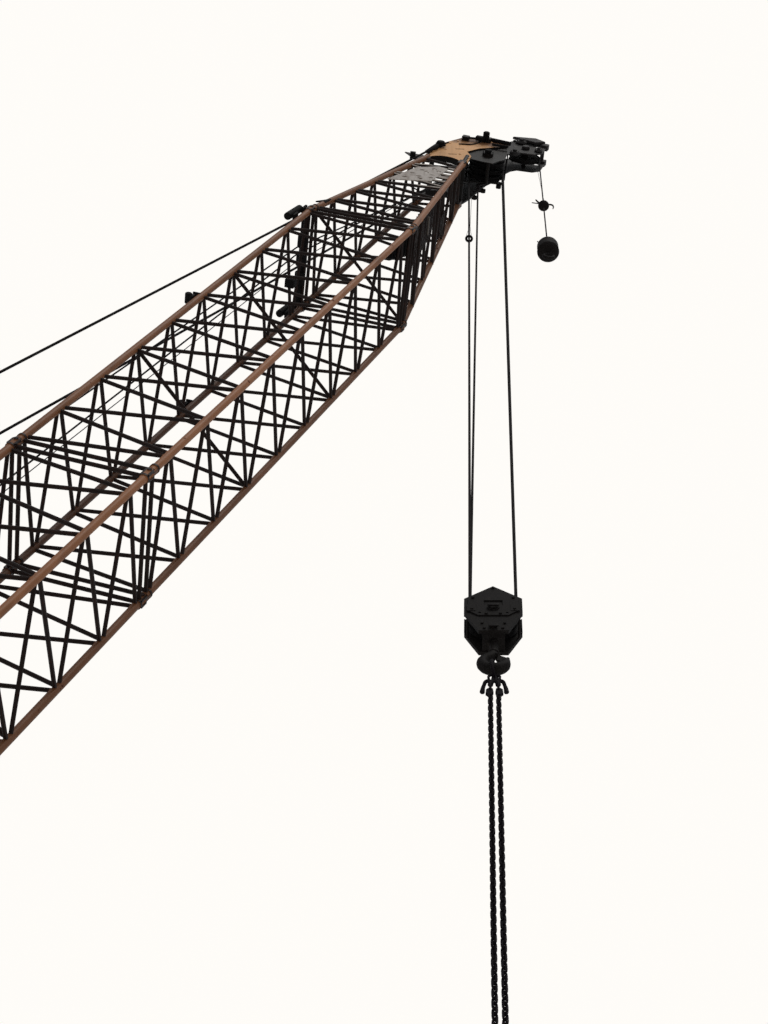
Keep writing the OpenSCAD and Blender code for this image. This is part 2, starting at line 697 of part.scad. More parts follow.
// Pins that carry the jib, and the bar that carries the hoist rope's dead end
jib_pin_a = [axis_u + 550, 167];
jib_pin_b = [axis_u + 679, -181];
jib_pin_r = 40;
becket = [axis_u - 330, axis_w - 102];
module boom_head() {
    color("peru") {
        boom_frame() difference() {
            union() {
                for (s = [-1, 1]) {
                    translate([tip_end, 0, 0]) {
                        difference() {
                            plate_y(s < 0 ? HEAD_PLATE : FAR_PLATE, s * tip_w / 2, plate_t);
                            drum_y([arch_at[0], s * tip_w / 2, arch_at[1]], arch_r, plate_t + 2);
                            for (p = SLOTS) translate([p[0], s * tip_w / 2, p[1]]) rotate([0, 62, 0])
                                slab(-72, 72, -13, 13, 0, plate_t + 2);
                        }
                        arch_flange(s);
                        bar([12, s * tip_w / 2, head_belly], [400, s * tip_w / 2, head_belly + 45], 80, 12);
                    }
                    drum_y([pin_u, s * (pendant_y + tip_w / 2 + 20) / 2, pin_w], 30, pendant_y - tip_w / 2 + 20);
                    for (p = [jib_pin_a, jib_pin_b])
                        slab(p[0] - 55, p[0] + 55, p[1] - 55, p[1] + 55, s * (tip_w / 2 + 50), 80);
                    bar([jib_pin_a[0], s * (tip_w / 2 + 62), jib_pin_a[1]], [jib_pin_b[0], s * (tip_w / 2 + 62), jib_pin_b[1]],
                        36, 8);
                }
                for (p = [jib_pin_a, jib_pin_b]) drum_y([p[0], 0, p[1]], jib_pin_r, tip_w + 40);
                translate([tip_end, 0, 0]) plate_y(CHEEK, -web_y, web_t);
                translate([tip_end, 0, 0]) plate_y(MID_PLATE, mid_y, web_t);
                drum_y([axis_u, -web_y, axis_w], web_r, web_t);
                for (y = [-tip_w / 2 - 10, mid_y + 20]) drum_y([axis_u, y, axis_w], 90, 60);
                drum_y([becket[0], (mid_y - web_y) / 2, becket[1]], 30, mid_y + web_y);
                drum_y([tip_end + 250, 0, head_top - 10], 40, tip_w);
                drum_y([tip_end + 60, 0, head_belly + 10], 40, tip_w);
            }
            drum_y([axis_u, 0, axis_w], 45 + fit, tip_w + 300);
        }
        becket_lug();
    }
}

// Flange along the arch, on the inner side of a side plate
module arch_flange(s) {
    intersection() {
        difference() {
            drum_y([arch_at[0], s * (tip_w / 2 - 50), arch_at[1]], arch_r + 16, 80);
            drum_y([arch_at[0], s * (tip_w / 2 - 50), arch_at[1]], arch_r, 82);
        }
        slab(0, 400, -225, 480, s * tip_w / 2, 400);
    }
}

// Lug that points at the end of the hoist rope's last fall, and the ball of that end
becket_end = [-118, -497];
dead_end = [-122, -568];
fall_y = 50;
module becket_lug() {
    from = on_boom(becket[0], becket[1]) - head_axis;
    translate(head_axis) {
        drum_y([becket_end[0], fall_y, becket_end[1]], 35, 20);
        plate_y([[from[0] - 25, from[2] + 10], [from[0] + 25, from[2] - 10], [becket_end[0] + 33, becket_end[1] - 8],
            [becket_end[0] - 33, becket_end[1] + 8]], fall_y, 20);
    }
}

module head_sheaves() {
    color("dimgray") sheave_row(head_axis - [0, sheave_step, 0], sheave_r, sheave_count, sheave_step, 60,
        tip_w - 130, 45);
}

// Side frame of the jib from the tip's end, and its round openings: [along, across, radius]
JIB_ARM = [[1170, 110], [1215, 262], [1400, 262], [2230, -290], [2470, -420], [2580, -900], [2500, -985], [1990, -1010],
    [1850, -910], [1800, -650], [1510, -480], [1330, -290]];
JIB_HOLES = [[1640, -120, 75], [1620, -330, 70], [1850, -250, 80], [2330, -860, 55]];
jib_y = 150;
module auxiliary_jib() {
    color("peru") boom_frame() difference() {
        union() {
            for (s = [-1, 1]) translate([tip_end, 0, 0]) difference() {
                plate_y(JIB_ARM, s * jib_y, 20);
                for (h = JIB_HOLES) drum_y([h[0], s * jib_y, h[1]], h[2], 22);
            }
            drum_y([tip_end + 2510, 0, -910], 30, 2 * jib_y);
            drum_y([tip_end + 1500, 0, -200], 30, 2 * jib_y);
        }
        drum_y([aux_u, 0, aux_w], 35 + fit, 400);
        for (p = [jib_pin_a, jib_pin_b]) drum_y([p[0], 0, p[1]], jib_pin_r + fit, 400);
    }
}
module auxiliary_sheave() {
    color("dimgray") {
        sheave(aux_axis, aux_r, 0, 60);
        drum_y(aux_axis, 35, 380);
        drum_y(aux_axis, 60, 200);
    }
}

bridle_rear = 760;
bridle_front = 340;
eye_r = 85;
module pendants() {
    color("black") stay_frame() difference() {
        for (s = [-1, 1]) {
            translate([falls_l + bridle_front, s * pendant_y, 0]) rotate([0, 90, 0])
                cylinder(d = pendant_d, h = stay_l - falls_l - bridle_front - 45, $fn = 16);
            drum_y([stay_l, s * pendant_y, 0], eye_r, 30);
        }
        drum_y([stay_l, 0, 0], 30 + fit, 2 * pendant_y + 200);
    }
}

module bridle() {
    color("sienna") {
        sheave_row(bridle_pin, luff_sheave_r, luff_sheave_n, luff_sheave_step, 60, 2 * pendant_y + 100, 45);
        stay_frame() for (s = [-1, 1]) translate([falls_l, s * pendant_y, 0])
            slab(-bridle_rear, bridle_front, -230, 230, 0, 30);
    }
}
module bridle_falls() { color("black") stay_frame() fall_set(falls_short, -luff_sheave_r); }

// Falls of the hoist rope: its top from the head sheaves' axis, then X and Y at the block
FALLS = [[[sheave_r, -110, 0], 1, -fall_y], [[sheave_r, 0, 0], 1, fall_y], [[-sheave_r, 0, 0], -1, -fall_y],
    [[dead_end[0], fall_y, dead_end[1]], -1, fall_y]];
block_r = 231;
fall_weight_z = -3470;
block_turn = -7;
function at_block(x, y) = [x * cos(block_turn) - y * sin(block_turn), x * sin(block_turn) + y * cos(block_turn),
    block_z];
module block_frame() {
    translate(head_axis + [0, 0, block_z]) rotate([0, 0, block_turn]) children();
}
module hoist_falls() {
    color("black") translate(head_axis) {
        for (f = FALLS) bar(f[0], at_block(f[1] * block_r, f[2]), rope_d);
        translate([dead_end[0], fall_y, dead_end[1]]) {
            drum_y([0, 0, 0], 28, 40, 24);
            translate([0, 0, -150]) cylinder(r = 22, h = 140, $fn = 24);
        }
        translate(FALLS[2][0] + (at_block(-block_r, -fall_y) - FALLS[2][0]) * fall_weight_z / block_z)
            sphere(r = 62, $fn = 32);
    }
}

// Block: side plates, their covers with a window, and the crosshead that carries the hook
half_w = block_w / 2;
BLOCK_CHEEK = [[0, 474], [-half_w, 207], [-half_w, -80], [-145, -440], [145, -440], [half_w, -80], [half_w, 207]];
COVER = [[0, 440], [-half_w + 40, 200], [-half_w + 40, -60], [-150, -153], [150, -153], [half_w - 40, -60],
    [half_w - 40, 200]];
cheek_at = 120;
cross_z = -355;
module hook_block() {
    color("black") block_frame() difference() {
        union() {
            for (s = [-1, 1]) {
                plate_y(BLOCK_CHEEK, s * cheek_at, 40);
                difference() {
                    plate_y(COVER, s * (cheek_at + 26), 14);
                    slab(-93, 93, 53, 150, s * (cheek_at + 26), 16);
                    for (x = [-135, 135]) drum_y([x, s * (cheek_at + 26), -105], 14, 16);
                }
                drum_y([0, s * (cheek_at + 20), cross_z], 42, 50);
                drum_y([0, s * (cheek_at + 20), 0], 62, 50);
                for (x = [-1, 1]) slab(x * 215 - 45, x * 215 + 45, -70, 60, s * (cheek_at + 26), 24);
            }
            slab(-110, 110, cross_z - 75, cross_z + 45, 0, 2 * cheek_at - 38);
            drum_y([0, 0, 430], 22, 2 * cheek_at);
        }
        drum_y([0, 0, 0], 40 + fit, 500);
        translate([0, 0, cross_z - 100]) cylinder(r = shank_r + fit, h = 200, $fn = 32);
    }
}
module block_sheaves() {
    color("dimgray") block_frame() sheave_row([0, 0, 0], block_r, 2, 2 * fall_y, 60, 2 * cheek_at + 120, 40);
}

// Hook: shank with its nut on the crosshead, and a round bowl open on one side
shank_r = 42;
bowl_z = block_z - 840;
bowl_r = 110;
bowl_t = 58;
module hook() {
    color("black") translate(head_axis) rotate([0, 0, block_turn]) {
        translate([0, 0, bowl_z + bowl_r]) cylinder(r = shank_r, h = block_z + cross_z + 60 - bowl_z - bowl_r, $fn = 32);
        translate([0, 0, block_z + cross_z + 45 + seat]) cylinder(r = 68, h = 45, $fn = 6);
        translate([0, 0, bowl_z + bowl_r - 10]) cylinder(r = 62, h = 70, $fn = 32);
        translate([0, 0, bowl_z]) rotate([90, 0, 0]) rotate([0, 0, 88]) rotate_extrude(angle = 292, $fn = 48)
            translate([bowl_r, 0]) circle(bowl_t, $fn = 24);
    }
}

// Sling: master ring on the hook's saddle, two branches, shortening hooks, chain legs and their end hooks
saddle_z = bowl_z - bowl_r + bowl_t;
ring_r = 105;
ring_t = 18;
leg_x = 38;
chain_w = 74;
chain_t = 20;
branch_l = 330;
module small_hook(p, turn, r, t) {
    translate(p) rotate([90, 0, 0]) rotate([0, 0, turn]) rotate_extrude(angle = 250, $fn = 32)
        translate([r, 0]) circle(t, $fn = 16);
}
module sling() {
    ring_z = ring_t - 2 * ring_r + seat;
    color("black") translate(head_axis + [0, 0, saddle_z]) rotate([0, 0, block_turn]) {
        translate([0, 0, ring_t - ring_r + seat]) rotate([0, 90, 0]) rotate_extrude($fn = 48)
            translate([ring_r, 0]) circle(ring_t, $fn = 24);
        for (s = [-1, 1]) {
            top = ring_z - branch_l;
            bar([0, 0, ring_z - 5], [s * leg_x, 0, ring_z - 110], 34, 8);
            translate([s * leg_x - 26, -20, top - 20]) cube([52, 40, branch_l - 90]);
            small_hook([s * (leg_x + 48), 0, top + 20], s > 0 ? 180 : 110, 40, 14);
            translate([s * leg_x, 0, top - sling_l / 2]) {
                cube([chain_w, chain_t, sling_l], center = true);
                cube([chain_t, chain_w, sling_l], center = true);
            }
            translate([s * leg_x, 0, top - sling_l]) {
                translate([0, 0, -70]) cylinder(r = 24, h = 90, $fn = 24);
                small_hook([0, 0, -125], 80, 55, 20);
            }
        }
    }
}

ball_drop = 4600;
line_weight_z = -2594;
cap_h = 100;
module auxiliary_line() {
    color("black") translate(aux_axis + [aux_r, 0, 0]) {
        translate([0, 0, cap_h - ball_drop]) cylinder(d = rope_d, h = ball_drop - cap_h, $fn = 12);
        translate([0, 0, line_weight_z]) sphere(r = 88, $fn = 32);
    }
}
module line_ball() {
    color("black") translate(aux_axis + [aux_r, 0, -ball_drop - ball_d / 2]) {
        sphere(d = ball_d, $fn = 48);
        translate([0, 0, ball_d / 2 - 60]) cylinder(d = 110, h = cap_h + 60, $fn = 24);
    }
}
module ball_hook() {
    color("black") translate(aux_axis + [aux_r, 0, -ball_drop - ball_d - 60]) {
        translate([0, 0, -50]) cylinder(r = 26, h = 110 - seat, $fn = 24);
        translate([0, 0, -105]) rotate([90, 0, 0]) rotate([0, 0, 80]) rotate_extrude(angle = 290, $fn = 32)
            translate([70, 0]) circle(28, $fn = 16);
    }
}

track(1);  // track_left
track(-1);  // track_right
track_frame(1);  // track_frame_left
track_frame(-1);  // track_frame_right
sprocket(1);  // drive_sprocket_left
sprocket(-1);  // drive_sprocket_right
idler(1);  // idler_left
idler(-1);  // idler_right
rollers(1);  // rollers_left
rollers(-1);  // rollers_right
car_body();
slew_ring();
deck();
cab();
cab_door();
cab_glass();
operator_seat();
engine_house();
engine();
tank_house();
counterweight_base();
counterweight_lower();
counterweight_upper();
gantry();
gantry_sheaves();
luffing_falls();
main_winch();
auxiliary_winch();
luffing_winch();
boom_foot();
boom_insert_short();
boom_insert_lower();
boom_insert_upper();
boom_tip();
boom_head();
head_sheaves();
auxiliary_jib();
auxiliary_sheave();
pendants();
bridle();
bridle_falls();
hoist_falls();
hook_block();
block_sheaves();
hook();
sling();
auxiliary_line();
line_ball();
ball_hook();
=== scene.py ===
# Looks of a crawler crane with a lattice boom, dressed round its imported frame. Metres, Z up, X forward.
import json
import math

import bpy
from mathutils import Matrix, Vector


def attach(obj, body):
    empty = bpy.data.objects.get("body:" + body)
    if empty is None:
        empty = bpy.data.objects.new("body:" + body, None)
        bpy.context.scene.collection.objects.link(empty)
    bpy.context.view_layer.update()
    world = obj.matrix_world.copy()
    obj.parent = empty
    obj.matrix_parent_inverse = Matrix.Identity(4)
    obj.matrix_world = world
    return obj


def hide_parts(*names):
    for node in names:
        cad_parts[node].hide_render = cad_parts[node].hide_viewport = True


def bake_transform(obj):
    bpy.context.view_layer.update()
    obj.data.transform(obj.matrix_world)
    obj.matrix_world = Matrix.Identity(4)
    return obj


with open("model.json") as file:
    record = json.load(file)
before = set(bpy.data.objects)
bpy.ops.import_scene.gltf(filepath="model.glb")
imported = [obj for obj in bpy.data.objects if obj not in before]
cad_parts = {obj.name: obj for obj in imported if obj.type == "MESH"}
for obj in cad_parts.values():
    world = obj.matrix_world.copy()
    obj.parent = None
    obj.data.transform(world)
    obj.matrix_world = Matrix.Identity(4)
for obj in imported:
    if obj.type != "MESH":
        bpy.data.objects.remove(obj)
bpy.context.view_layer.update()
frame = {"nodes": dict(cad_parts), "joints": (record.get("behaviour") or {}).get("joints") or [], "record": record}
NODES = frame["nodes"]
JOINT_AT = {joint["name"]: Vector(joint["pos_m"]) for joint in frame["joints"]}

# The boom's frame: U runs along the boom from its foot pins, W from its belly to its top
BOOM_ANGLE = math.radians(74.5)
FOOT = JOINT_AT["luff"]
ALONG = Vector((math.cos(BOOM_ANGLE), 0, math.sin(BOOM_ANGLE)))
UPWARD = Vector((-math.sin(BOOM_ANGLE), 0, math.cos(BOOM_ANGLE)))
PANEL = 1.016
BOOM_W = 1.45
BOOM_D = 1.49
CHORD_R = 0.0445
TIP_L = 4.9
FOOT_END = 6 * PANEL
UPPER_END = 27 * PANEL
TIP_END = UPPER_END + TIP_L
TIP_BELLY = -0.16
TIP_TOP = 0.44


# View and light

CAMERA_AT = (8.93, -9.845, 0.102)
CAMERA_RIGHT = (0.9945, -0.1000, 0.0387)
CAMERA_UP = (-0.1071, -0.8951, 0.4330)
FOCAL_PIXELS = 2093.65
FRAME_PIXELS = 1024
SKY = (0.996, 0.975, 0.94)
FLOOR_COLOUR = (0.90, 0.87, 0.82)
LIGHT_GRADE = {"From Min": -0.5, "From Max": 0.6, "To Min": 0.34, "To Max": 0.72}


def place_camera():
    """Camera at floor level, looking up at the boom head at the photograph's angle."""
    data = bpy.data.cameras.new("camera")
    data.sensor_width = 36
    data.lens = FOCAL_PIXELS / FRAME_PIXELS * data.sensor_width
    data.clip_end = 500
    camera = bpy.data.objects.new("camera", data)
    bpy.context.scene.collection.objects.link(camera)
    right = Vector(CAMERA_RIGHT).normalized()
    back = right.cross(Vector(CAMERA_UP)).normalized()
    up = back.cross(right)
    camera.matrix_world = Matrix.Translation(CAMERA_AT) @ Matrix((right, up, back)).transposed().to_4x4()
    bpy.context.scene.camera = camera


def light_studio():
    """Pale surroundings to the camera, a light that grows with height to all else, and one soft lamp."""
    world = bpy.data.worlds.new("studio")
    bpy.context.scene.world = world
    world.use_nodes = True
    links = world.node_tree.links
    nodes = world.node_tree.nodes
    nodes.clear()
    path = nodes.new("ShaderNodeLightPath")
    through = nodes.new("ShaderNodeMath")
    through.operation = "MAXIMUM"
    links.new(path.outputs["Is Camera Ray"], through.inputs[0])
    links.new(path.outputs["Is Transmission Ray"], through.inputs[1])
    shown = nodes.new("ShaderNodeBackground")
    shown.inputs["Color"].default_value = (*SKY, 1)
    lamp = nodes.new("ShaderNodeBackground")
    lamp.inputs["Color"].default_value = (0.96, 0.98, 1.0, 1)
    heading = nodes.new("ShaderNodeTexCoord")
    height = nodes.new("ShaderNodeSeparateXYZ")
    links.new(heading.outputs["Generated"], height.inputs[0])
    grade = nodes.new("ShaderNodeMapRange")
    for name, value in LIGHT_GRADE.items():
        grade.inputs[name].default_value = value
    links.new(height.outputs["Z"], grade.inputs["Value"])
    links.new(grade.outputs["Result"], lamp.inputs["Strength"])
    either = nodes.new("ShaderNodeMixShader")
    links.new(through.outputs[0], either.inputs[0])
    links.new(lamp.outputs[0], either.inputs[1])
    links.new(shown.outputs[0], either.inputs[2])
    links.new(either.outputs[0], nodes.new("ShaderNodeOutputWorld").inputs["Surface"])
    sun = bpy.data.lights.new("softlight", "SUN")
    sun.energy = 1.1
    sun.angle = math.radians(25)
    sun.color = (1.0, 0.97, 0.92)
    lamp_object = bpy.data.objects.new("softlight", sun)
    lamp_object.rotation_euler = (math.radians(38), math.radians(-12), math.radians(35))
    bpy.context.scene.collection.objects.link(lamp_object)


def lay_floor():
    """Plain pale floor under the crawlers."""
    bpy.ops.mesh.primitive_circle_add(vertices=96, radius=160, fill_type="NGON", location=(0, 0, 0))
    floor = bpy.context.object
    floor.name = "floor"
    paint = Finish("floor_finish")
    grain = paint.noise(0.35, detail=3)
    paint.surface(paint.blend(grain, FLOOR_COLOUR, [c * 0.97 for c in FLOOR_COLOUR]), roughness=0.9)
    floor.data.materials.append(paint.material)


# Shader maths as plain expressions

class Wire:
    """A socket whose sums, products and comparisons add the nodes that work them out."""

    def __init__(self, finish, socket):
        self.finish = finish
        self.socket = socket

    def maths(self, operation, *others):
        return self.finish.add("ShaderNodeMath", {"operation": operation}, [self, *others])

    def __add__(self, other):
        return self.maths("ADD", other)

    __radd__ = __add__

    def __sub__(self, other):
        return self.maths("SUBTRACT", other)

    def __rsub__(self, other):
        return self.finish.add("ShaderNodeMath", {"operation": "SUBTRACT"}, [other, self])

    def __mul__(self, other):
        return self.maths("MULTIPLY", other)

    __rmul__ = __mul__

    def __abs__(self):
        return self.maths("ABSOLUTE")

    def below(self, limit):
        return self.maths("LESS_THAN", limit)

    def above(self, limit):
        return self.maths("GREATER_THAN", limit)

    def lower(self, other):
        return self.maths("MINIMUM", other)

    def step(self, low, high):
        """0 below low, 1 above high, and a smooth rise between them."""
        values = {"Value": self, "From Min": low, "From Max": high}
        return self.finish.add("ShaderNodeMapRange", {"interpolation_type": "SMOOTHSTEP"}, values)


class Finish:
    """One node-based material, built from expressions on wires."""

    def __init__(self, name):
        self.material = bpy.data.materials.new(name)
        self.material.use_nodes = True
        self.tree = self.material.node_tree
        self.tree.nodes.clear()
        self.where = self.add("ShaderNodeTexCoord", output="Object")
        self.split = self.add("ShaderNodeSeparateXYZ", {}, [self.where]).socket.node

    def add(self, kind, settings=None, values=(), output=0):
        """A node of that kind with its settings made first, its sockets set or linked, as a wire."""
        node = self.tree.nodes.new(kind)
        for name, value in (settings or {}).items():
            setattr(node, name, value)
        for key, value in values.items() if isinstance(values, dict) else enumerate(values):
            if isinstance(value, Wire):
                self.tree.links.new(value.socket, node.inputs[key])
            elif value is not None:
                node.inputs[key].default_value = value
        return Wire(self, node.outputs[output]) if len(node.outputs) else node

    @property
    def x(self):
        return Wire(self, self.split.outputs[0])

    @property
    def y(self):
        return Wire(self, self.split.outputs[1])

    @property
    def z(self):
        return Wire(self, self.split.outputs[2])

    def stretched(self, x, y, z):
        """The object's point with each axis scaled, for grain that runs one way."""
        return self.add("ShaderNodeVectorMath", {"operation": "MULTIPLY"}, [self.where, (x, y, z)])

    def noise(self, scale, detail=4, roughness=0.55, at=None):
        """Cloudy pattern from 0 to 1."""
        values = {"Vector": at or self.where, "Scale": scale, "Detail": detail, "Roughness": roughness}
        return self.add("ShaderNodeTexNoise", {}, values)

    def blend(self, share, first, second):
        """Colour between two colours."""
        values = {0: share, 6: self.colour(first), 7: self.colour(second)}
        return self.add("ShaderNodeMix", {"data_type": "RGBA"}, values, output=2)

    def colour(self, value):
        return value if isinstance(value, Wire) else (*value, 1)

    def bump(self, height, strength, distance):
        """Normal of a fine relief."""
        return self.add("ShaderNodeBump", {}, {"Height": height, "Strength": strength, "Distance": distance})

    def surface(self, colour, roughness=0.5, metallic=0.0, normal=None, **others):
        """Closes the material with one shader."""
        values = {"Base Color": self.colour(colour), "Roughness": roughness, "Metallic": metallic}
        values.update({"Normal": normal} if normal else {}, **others)
        shader = self.add("ShaderNodeBsdfPrincipled", {}, values)
        self.add("ShaderNodeOutputMaterial", {}, {"Surface": shader})
        return self.material


def tone(red, green, blue):
    """Linear colour of a screen colour given from 0 to 255."""
    shares = [c / 255 for c in (red, green, blue)]
    return tuple(c / 12.92 if c < 0.0404 else ((c + 0.055) / 1.055) ** 2.4 for c in shares)


def shine_of(level):
    """How strongly a surface that isn't bare metal reflects."""
    return {"Specular IOR Level": level}


OCHRE = tone(172, 130, 88)
RUST = tone(92, 47, 27)
DARK_RUST = tone(52, 27, 19)
GRIME = tone(30, 22, 19)
BARE_STEEL = tone(120, 112, 104)


def weathered(finish, paint, rust_share=0.3, grime_share=0.4, gloss=0.5):
    """Old paint: faded patches, rust that breaks through, and grime that runs down."""
    fade = finish.noise(0.9, detail=5)
    speckle = finish.noise(38, detail=3)
    faded = finish.blend(fade.step(0.3, 0.75), paint, [min(1, c * 1.25 + 0.01) for c in paint])
    blotch = finish.noise(5.5, detail=7, roughness=0.65)
    rust_edge = 0.74 - 0.22 * rust_share
    rust = blotch.step(rust_edge, rust_edge + 0.05)
    rust_tone = finish.blend(speckle.step(0.35, 0.65), RUST, DARK_RUST)
    rusty = finish.blend(rust, faded, rust_tone)
    runs = finish.noise(1.0, detail=5, at=finish.stretched(9, 9, 0.7))
    grime = runs.step(0.5, 0.78) * grime_share
    dirty = finish.blend(grime, rusty, GRIME)
    rough = gloss + 0.3 * rust + 0.12 * speckle
    height = 0.6 * blotch * rust + 0.15 * speckle
    return dirty, rough, finish.bump(height, 0.35, 0.004)


def paint_finish(name, paint, rust_share=0.3, grime_share=0.4, gloss=0.45):
    """Weathered machine paint."""
    finish = Finish(name)
    colour, rough, normal = weathered(finish, paint, rust_share, grime_share, gloss)
    return finish.surface(colour, rough, 0.0, normal)


CHORD_PAINT = tone(113, 73, 46)
LACING_PAINT = tone(20, 10, 8)
PLATE_GREY = tone(142, 135, 130)


def boom_finish(name, start, end, width, belly, top, plate=None):
    """Boom paint: orange-brown chords and dark lacings, told apart by the distance from a chord's line.
    start and end are stations, and width, belly and top hold the value at each of them. plate holds the
    stations between which bare grey sheet lies on the right side."""
    finish = Finish(name)
    dx = finish.x - FOOT.x
    dz = finish.z - FOOT.z
    u = dx * ALONG.x + dz * ALONG.z
    w = dx * UPWARD.x + dz * UPWARD.z

    def line(pair):
        slope = (pair[1] - pair[0]) / (end - start)
        return u * slope + (pair[0] - slope * start)

    aside = abs(finish.y) - line(width) * 0.5
    over = w - line(top)
    under = w - line(belly)
    nearest = (over * over).lower(under * under) + aside * aside
    on_chord = 1 - nearest.step((CHORD_R + 0.003) ** 2, (CHORD_R + 0.010) ** 2)
    chord, rough, normal = weathered(finish, CHORD_PAINT, 0.45, 0.35, 0.42)
    # Painted shade: the chords are painted darker on the +Y side and on the top half of the boom, where shade
    # falls on them.
    darkened = finish.y.step(-0.2, 0.2) * 0.5 + (over + under).step(-0.25, 0.25) * 0.3
    chord = finish.blend(darkened, chord, tone(40, 24, 18))
    dust = finish.noise(14, detail=6)
    lacing = finish.blend(dust.step(0.5, 0.8), LACING_PAINT, tone(38, 20, 15))
    if plate:
        outside = (finish.y * -1 - line(width) * 0.5).above(0.0125)
        on_sheet = outside * u.above(plate[0]) * u.below(plate[1]) * (1 - on_chord)
        streaks = finish.noise(3, detail=6, at=finish.stretched(3, 3, 1))
        sheet = finish.blend(streaks.step(0.45, 0.75), PLATE_GREY, tone(104, 92, 84))
        lacing = finish.blend(on_sheet, lacing, sheet)
    return finish.surface(finish.blend(on_chord, lacing, chord), rough, 0.0, normal, **shine_of(0.1))


def head_finish():
    """Boom head: ochre outer plates, with near-black cheeks inside them and black boxes outside. The plates'
    inward faces and cut edges are near-black as painted shade, and the ochre darkens towards the head's end.
    """
    finish = Finish("head_two_tone_and_shade")
    paint, rough, normal = weathered(finish, OCHRE, 0.2, 0.3, 0.45)
    dust = finish.noise(14, detail=6)
    dark = finish.blend(dust.step(0.5, 0.8), tone(12, 10, 10), tone(28, 20, 17))
    aside = abs(finish.y)
    along = (finish.x - FOOT.x) * ALONG.x + (finish.z - FOOT.z) * ALONG.z
    # The ochre is painted darker towards the head's end.
    toward_head_end = (along + finish.noise(6, detail=5) * 0.5).step(TIP_END + 1.15, TIP_END + 1.55)
    darkened = finish.blend(toward_head_end * 0.85, paint, tone(62, 36, 28))
    # Painted shade: faces of the plates that look inwards, and their cut edges, take the near-black colour.
    facing = finish.add("ShaderNodeNewGeometry", output=3)
    outward = finish.add("ShaderNodeSeparateXYZ", {}, [facing], output=1) * finish.y
    plate_outer_face = aside.above(HEAD_PLATE_IN) * aside.below(HEAD_PLATE_OUT) * outward.above(0.1)
    return finish.surface(finish.blend(plate_outer_face, dark, darkened), rough, 0.0, normal, **shine_of(0.08))


def iron_finish(name, base, wear=0.3, gloss=0.4, metallic=0.3, shine=0.5):
    """Dark greased iron with bright worn places."""
    finish = Finish(name)
    film = finish.noise(7, detail=6)
    grit = finish.noise(60, detail=4)
    worn = film.step(0.62 - 0.1 * wear, 0.8) * wear
    greased = finish.blend(grit.step(0.4, 0.7), base, [c * 1.7 + 0.004 for c in base])
    colour = finish.blend(worn, greased, BARE_STEEL)
    normal = finish.bump(grit, 0.3, 0.002)
    return finish.surface(colour, gloss + 0.25 * grit, metallic, normal, **shine_of(shine))


def glass_finish():
    """Tinted window glass with a little dust."""
    finish = Finish("window_glass")
    dust = finish.noise(3, detail=6)
    return finish.surface(tone(190, 205, 200), 0.04 + 0.2 * dust.step(0.5, 0.8), 0.0, None,
                          **{"Transmission Weight": 0.85, "IOR": 1.45})


HEAD_PLATE_IN = 0.3165
HEAD_PLATE_OUT = 0.352
BROWN = tone(104, 66, 44)
STRAIGHT = ((BOOM_W, BOOM_W), (-BOOM_D / 2, -BOOM_D / 2), (BOOM_D / 2, BOOM_D / 2))


def make_finishes():
    """Every material by its name."""
    return {
        "boom_straight": boom_finish("boom_straight", FOOT_END, UPPER_END, *STRAIGHT),
        "boom_taper": boom_finish("boom_taper", UPPER_END, TIP_END, (BOOM_W, 0.66), (-BOOM_D / 2, TIP_BELLY),
                                  (BOOM_D / 2, TIP_TOP), (UPPER_END + 2.68, UPPER_END + 4.26)),
        "boom_base": boom_finish("boom_base", 0.42, FOOT_END, (BOOM_W, BOOM_W), (-0.105, -BOOM_D / 2),
                                 (0.105, BOOM_D / 2)),
        "boom_paint": paint_finish("boom_paint", BROWN, 0.5),
        "head_paint": paint_finish("head_paint", OCHRE, 0.25, 0.3),
        "head_two_tone_and_shade": head_finish(),
        "jib_grey": iron_finish("jib_grey", tone(18, 16, 17), 0.35, 0.5, 0.0, 0.15),
        "cab_paint": paint_finish("cab_paint", OCHRE, 0.1, 0.25, 0.35),
        "frame_paint": paint_finish("frame_paint", tone(74, 52, 40), 0.5, 0.6),
        "weight_iron": paint_finish("weight_iron", tone(150, 112, 72), 0.4, 0.5),
        "shoe_steel": iron_finish("shoe_steel", tone(58, 50, 46), 0.7, 0.45, 0.5),
        "worn_steel": iron_finish("worn_steel", tone(60, 54, 50), 0.5, 0.4, 0.5),
        "sheave_iron": iron_finish("sheave_iron", tone(10, 9, 10), 0.06, 0.55, 0.0, 0.04),
        "rope_steel": iron_finish("rope_steel", tone(13, 10, 11), 0.05, 0.6, 0.0, 0.04),
        "block_paint": iron_finish("block_paint", tone(15, 13, 13), 0.06, 0.5, 0.0, 0.04),
        "chain_steel": iron_finish("chain_steel", tone(11, 8, 12), 0.06, 0.55, 0.0, 0.04),
        "engine_iron": iron_finish("engine_iron", tone(70, 70, 66), 0.2, 0.5, 0.2),
        "seat_vinyl": iron_finish("seat_vinyl", tone(26, 26, 28), 0.0, 0.5, 0.0),
        "window_glass": glass_finish(),
    }


NODE_FINISH = {"boom_foot": "boom_base", "boom_insert_short": "boom_straight",
               "boom_insert_lower": "boom_straight", "boom_insert_upper": "boom_straight",
               "boom_tip": "boom_taper", "boom_head": "head_two_tone_and_shade", "auxiliary_jib": "jib_grey"}


def dress_frame(finishes):
    """Gives every CAD node its own finish."""
    for part in frame["record"]["subparts"]:
        node = NODES[part["node"]]
        finish = finishes[NODE_FINISH.get(part["node"], part["material_slot"])]
        node.data.materials.clear()
        node.data.materials.append(finish)


# Shaping of the added pieces

def alone(piece):
    """Selects one piece and nothing else."""
    bpy.ops.object.select_all(action="DESELECT")
    piece.select_set(True)
    bpy.context.view_layer.objects.active = piece
    return piece


def joined(parts):
    """Parts made one mesh."""
    alone(parts[0])
    for part in parts:
        part.select_set(True)
    if len(parts) > 1:
        bpy.ops.object.join()
    return parts[0]


def settle(piece):
    """Puts a piece's place, turn and size into its mesh."""
    alone(piece)
    bpy.ops.object.transform_apply(location=True, rotation=True, scale=True)
    return piece


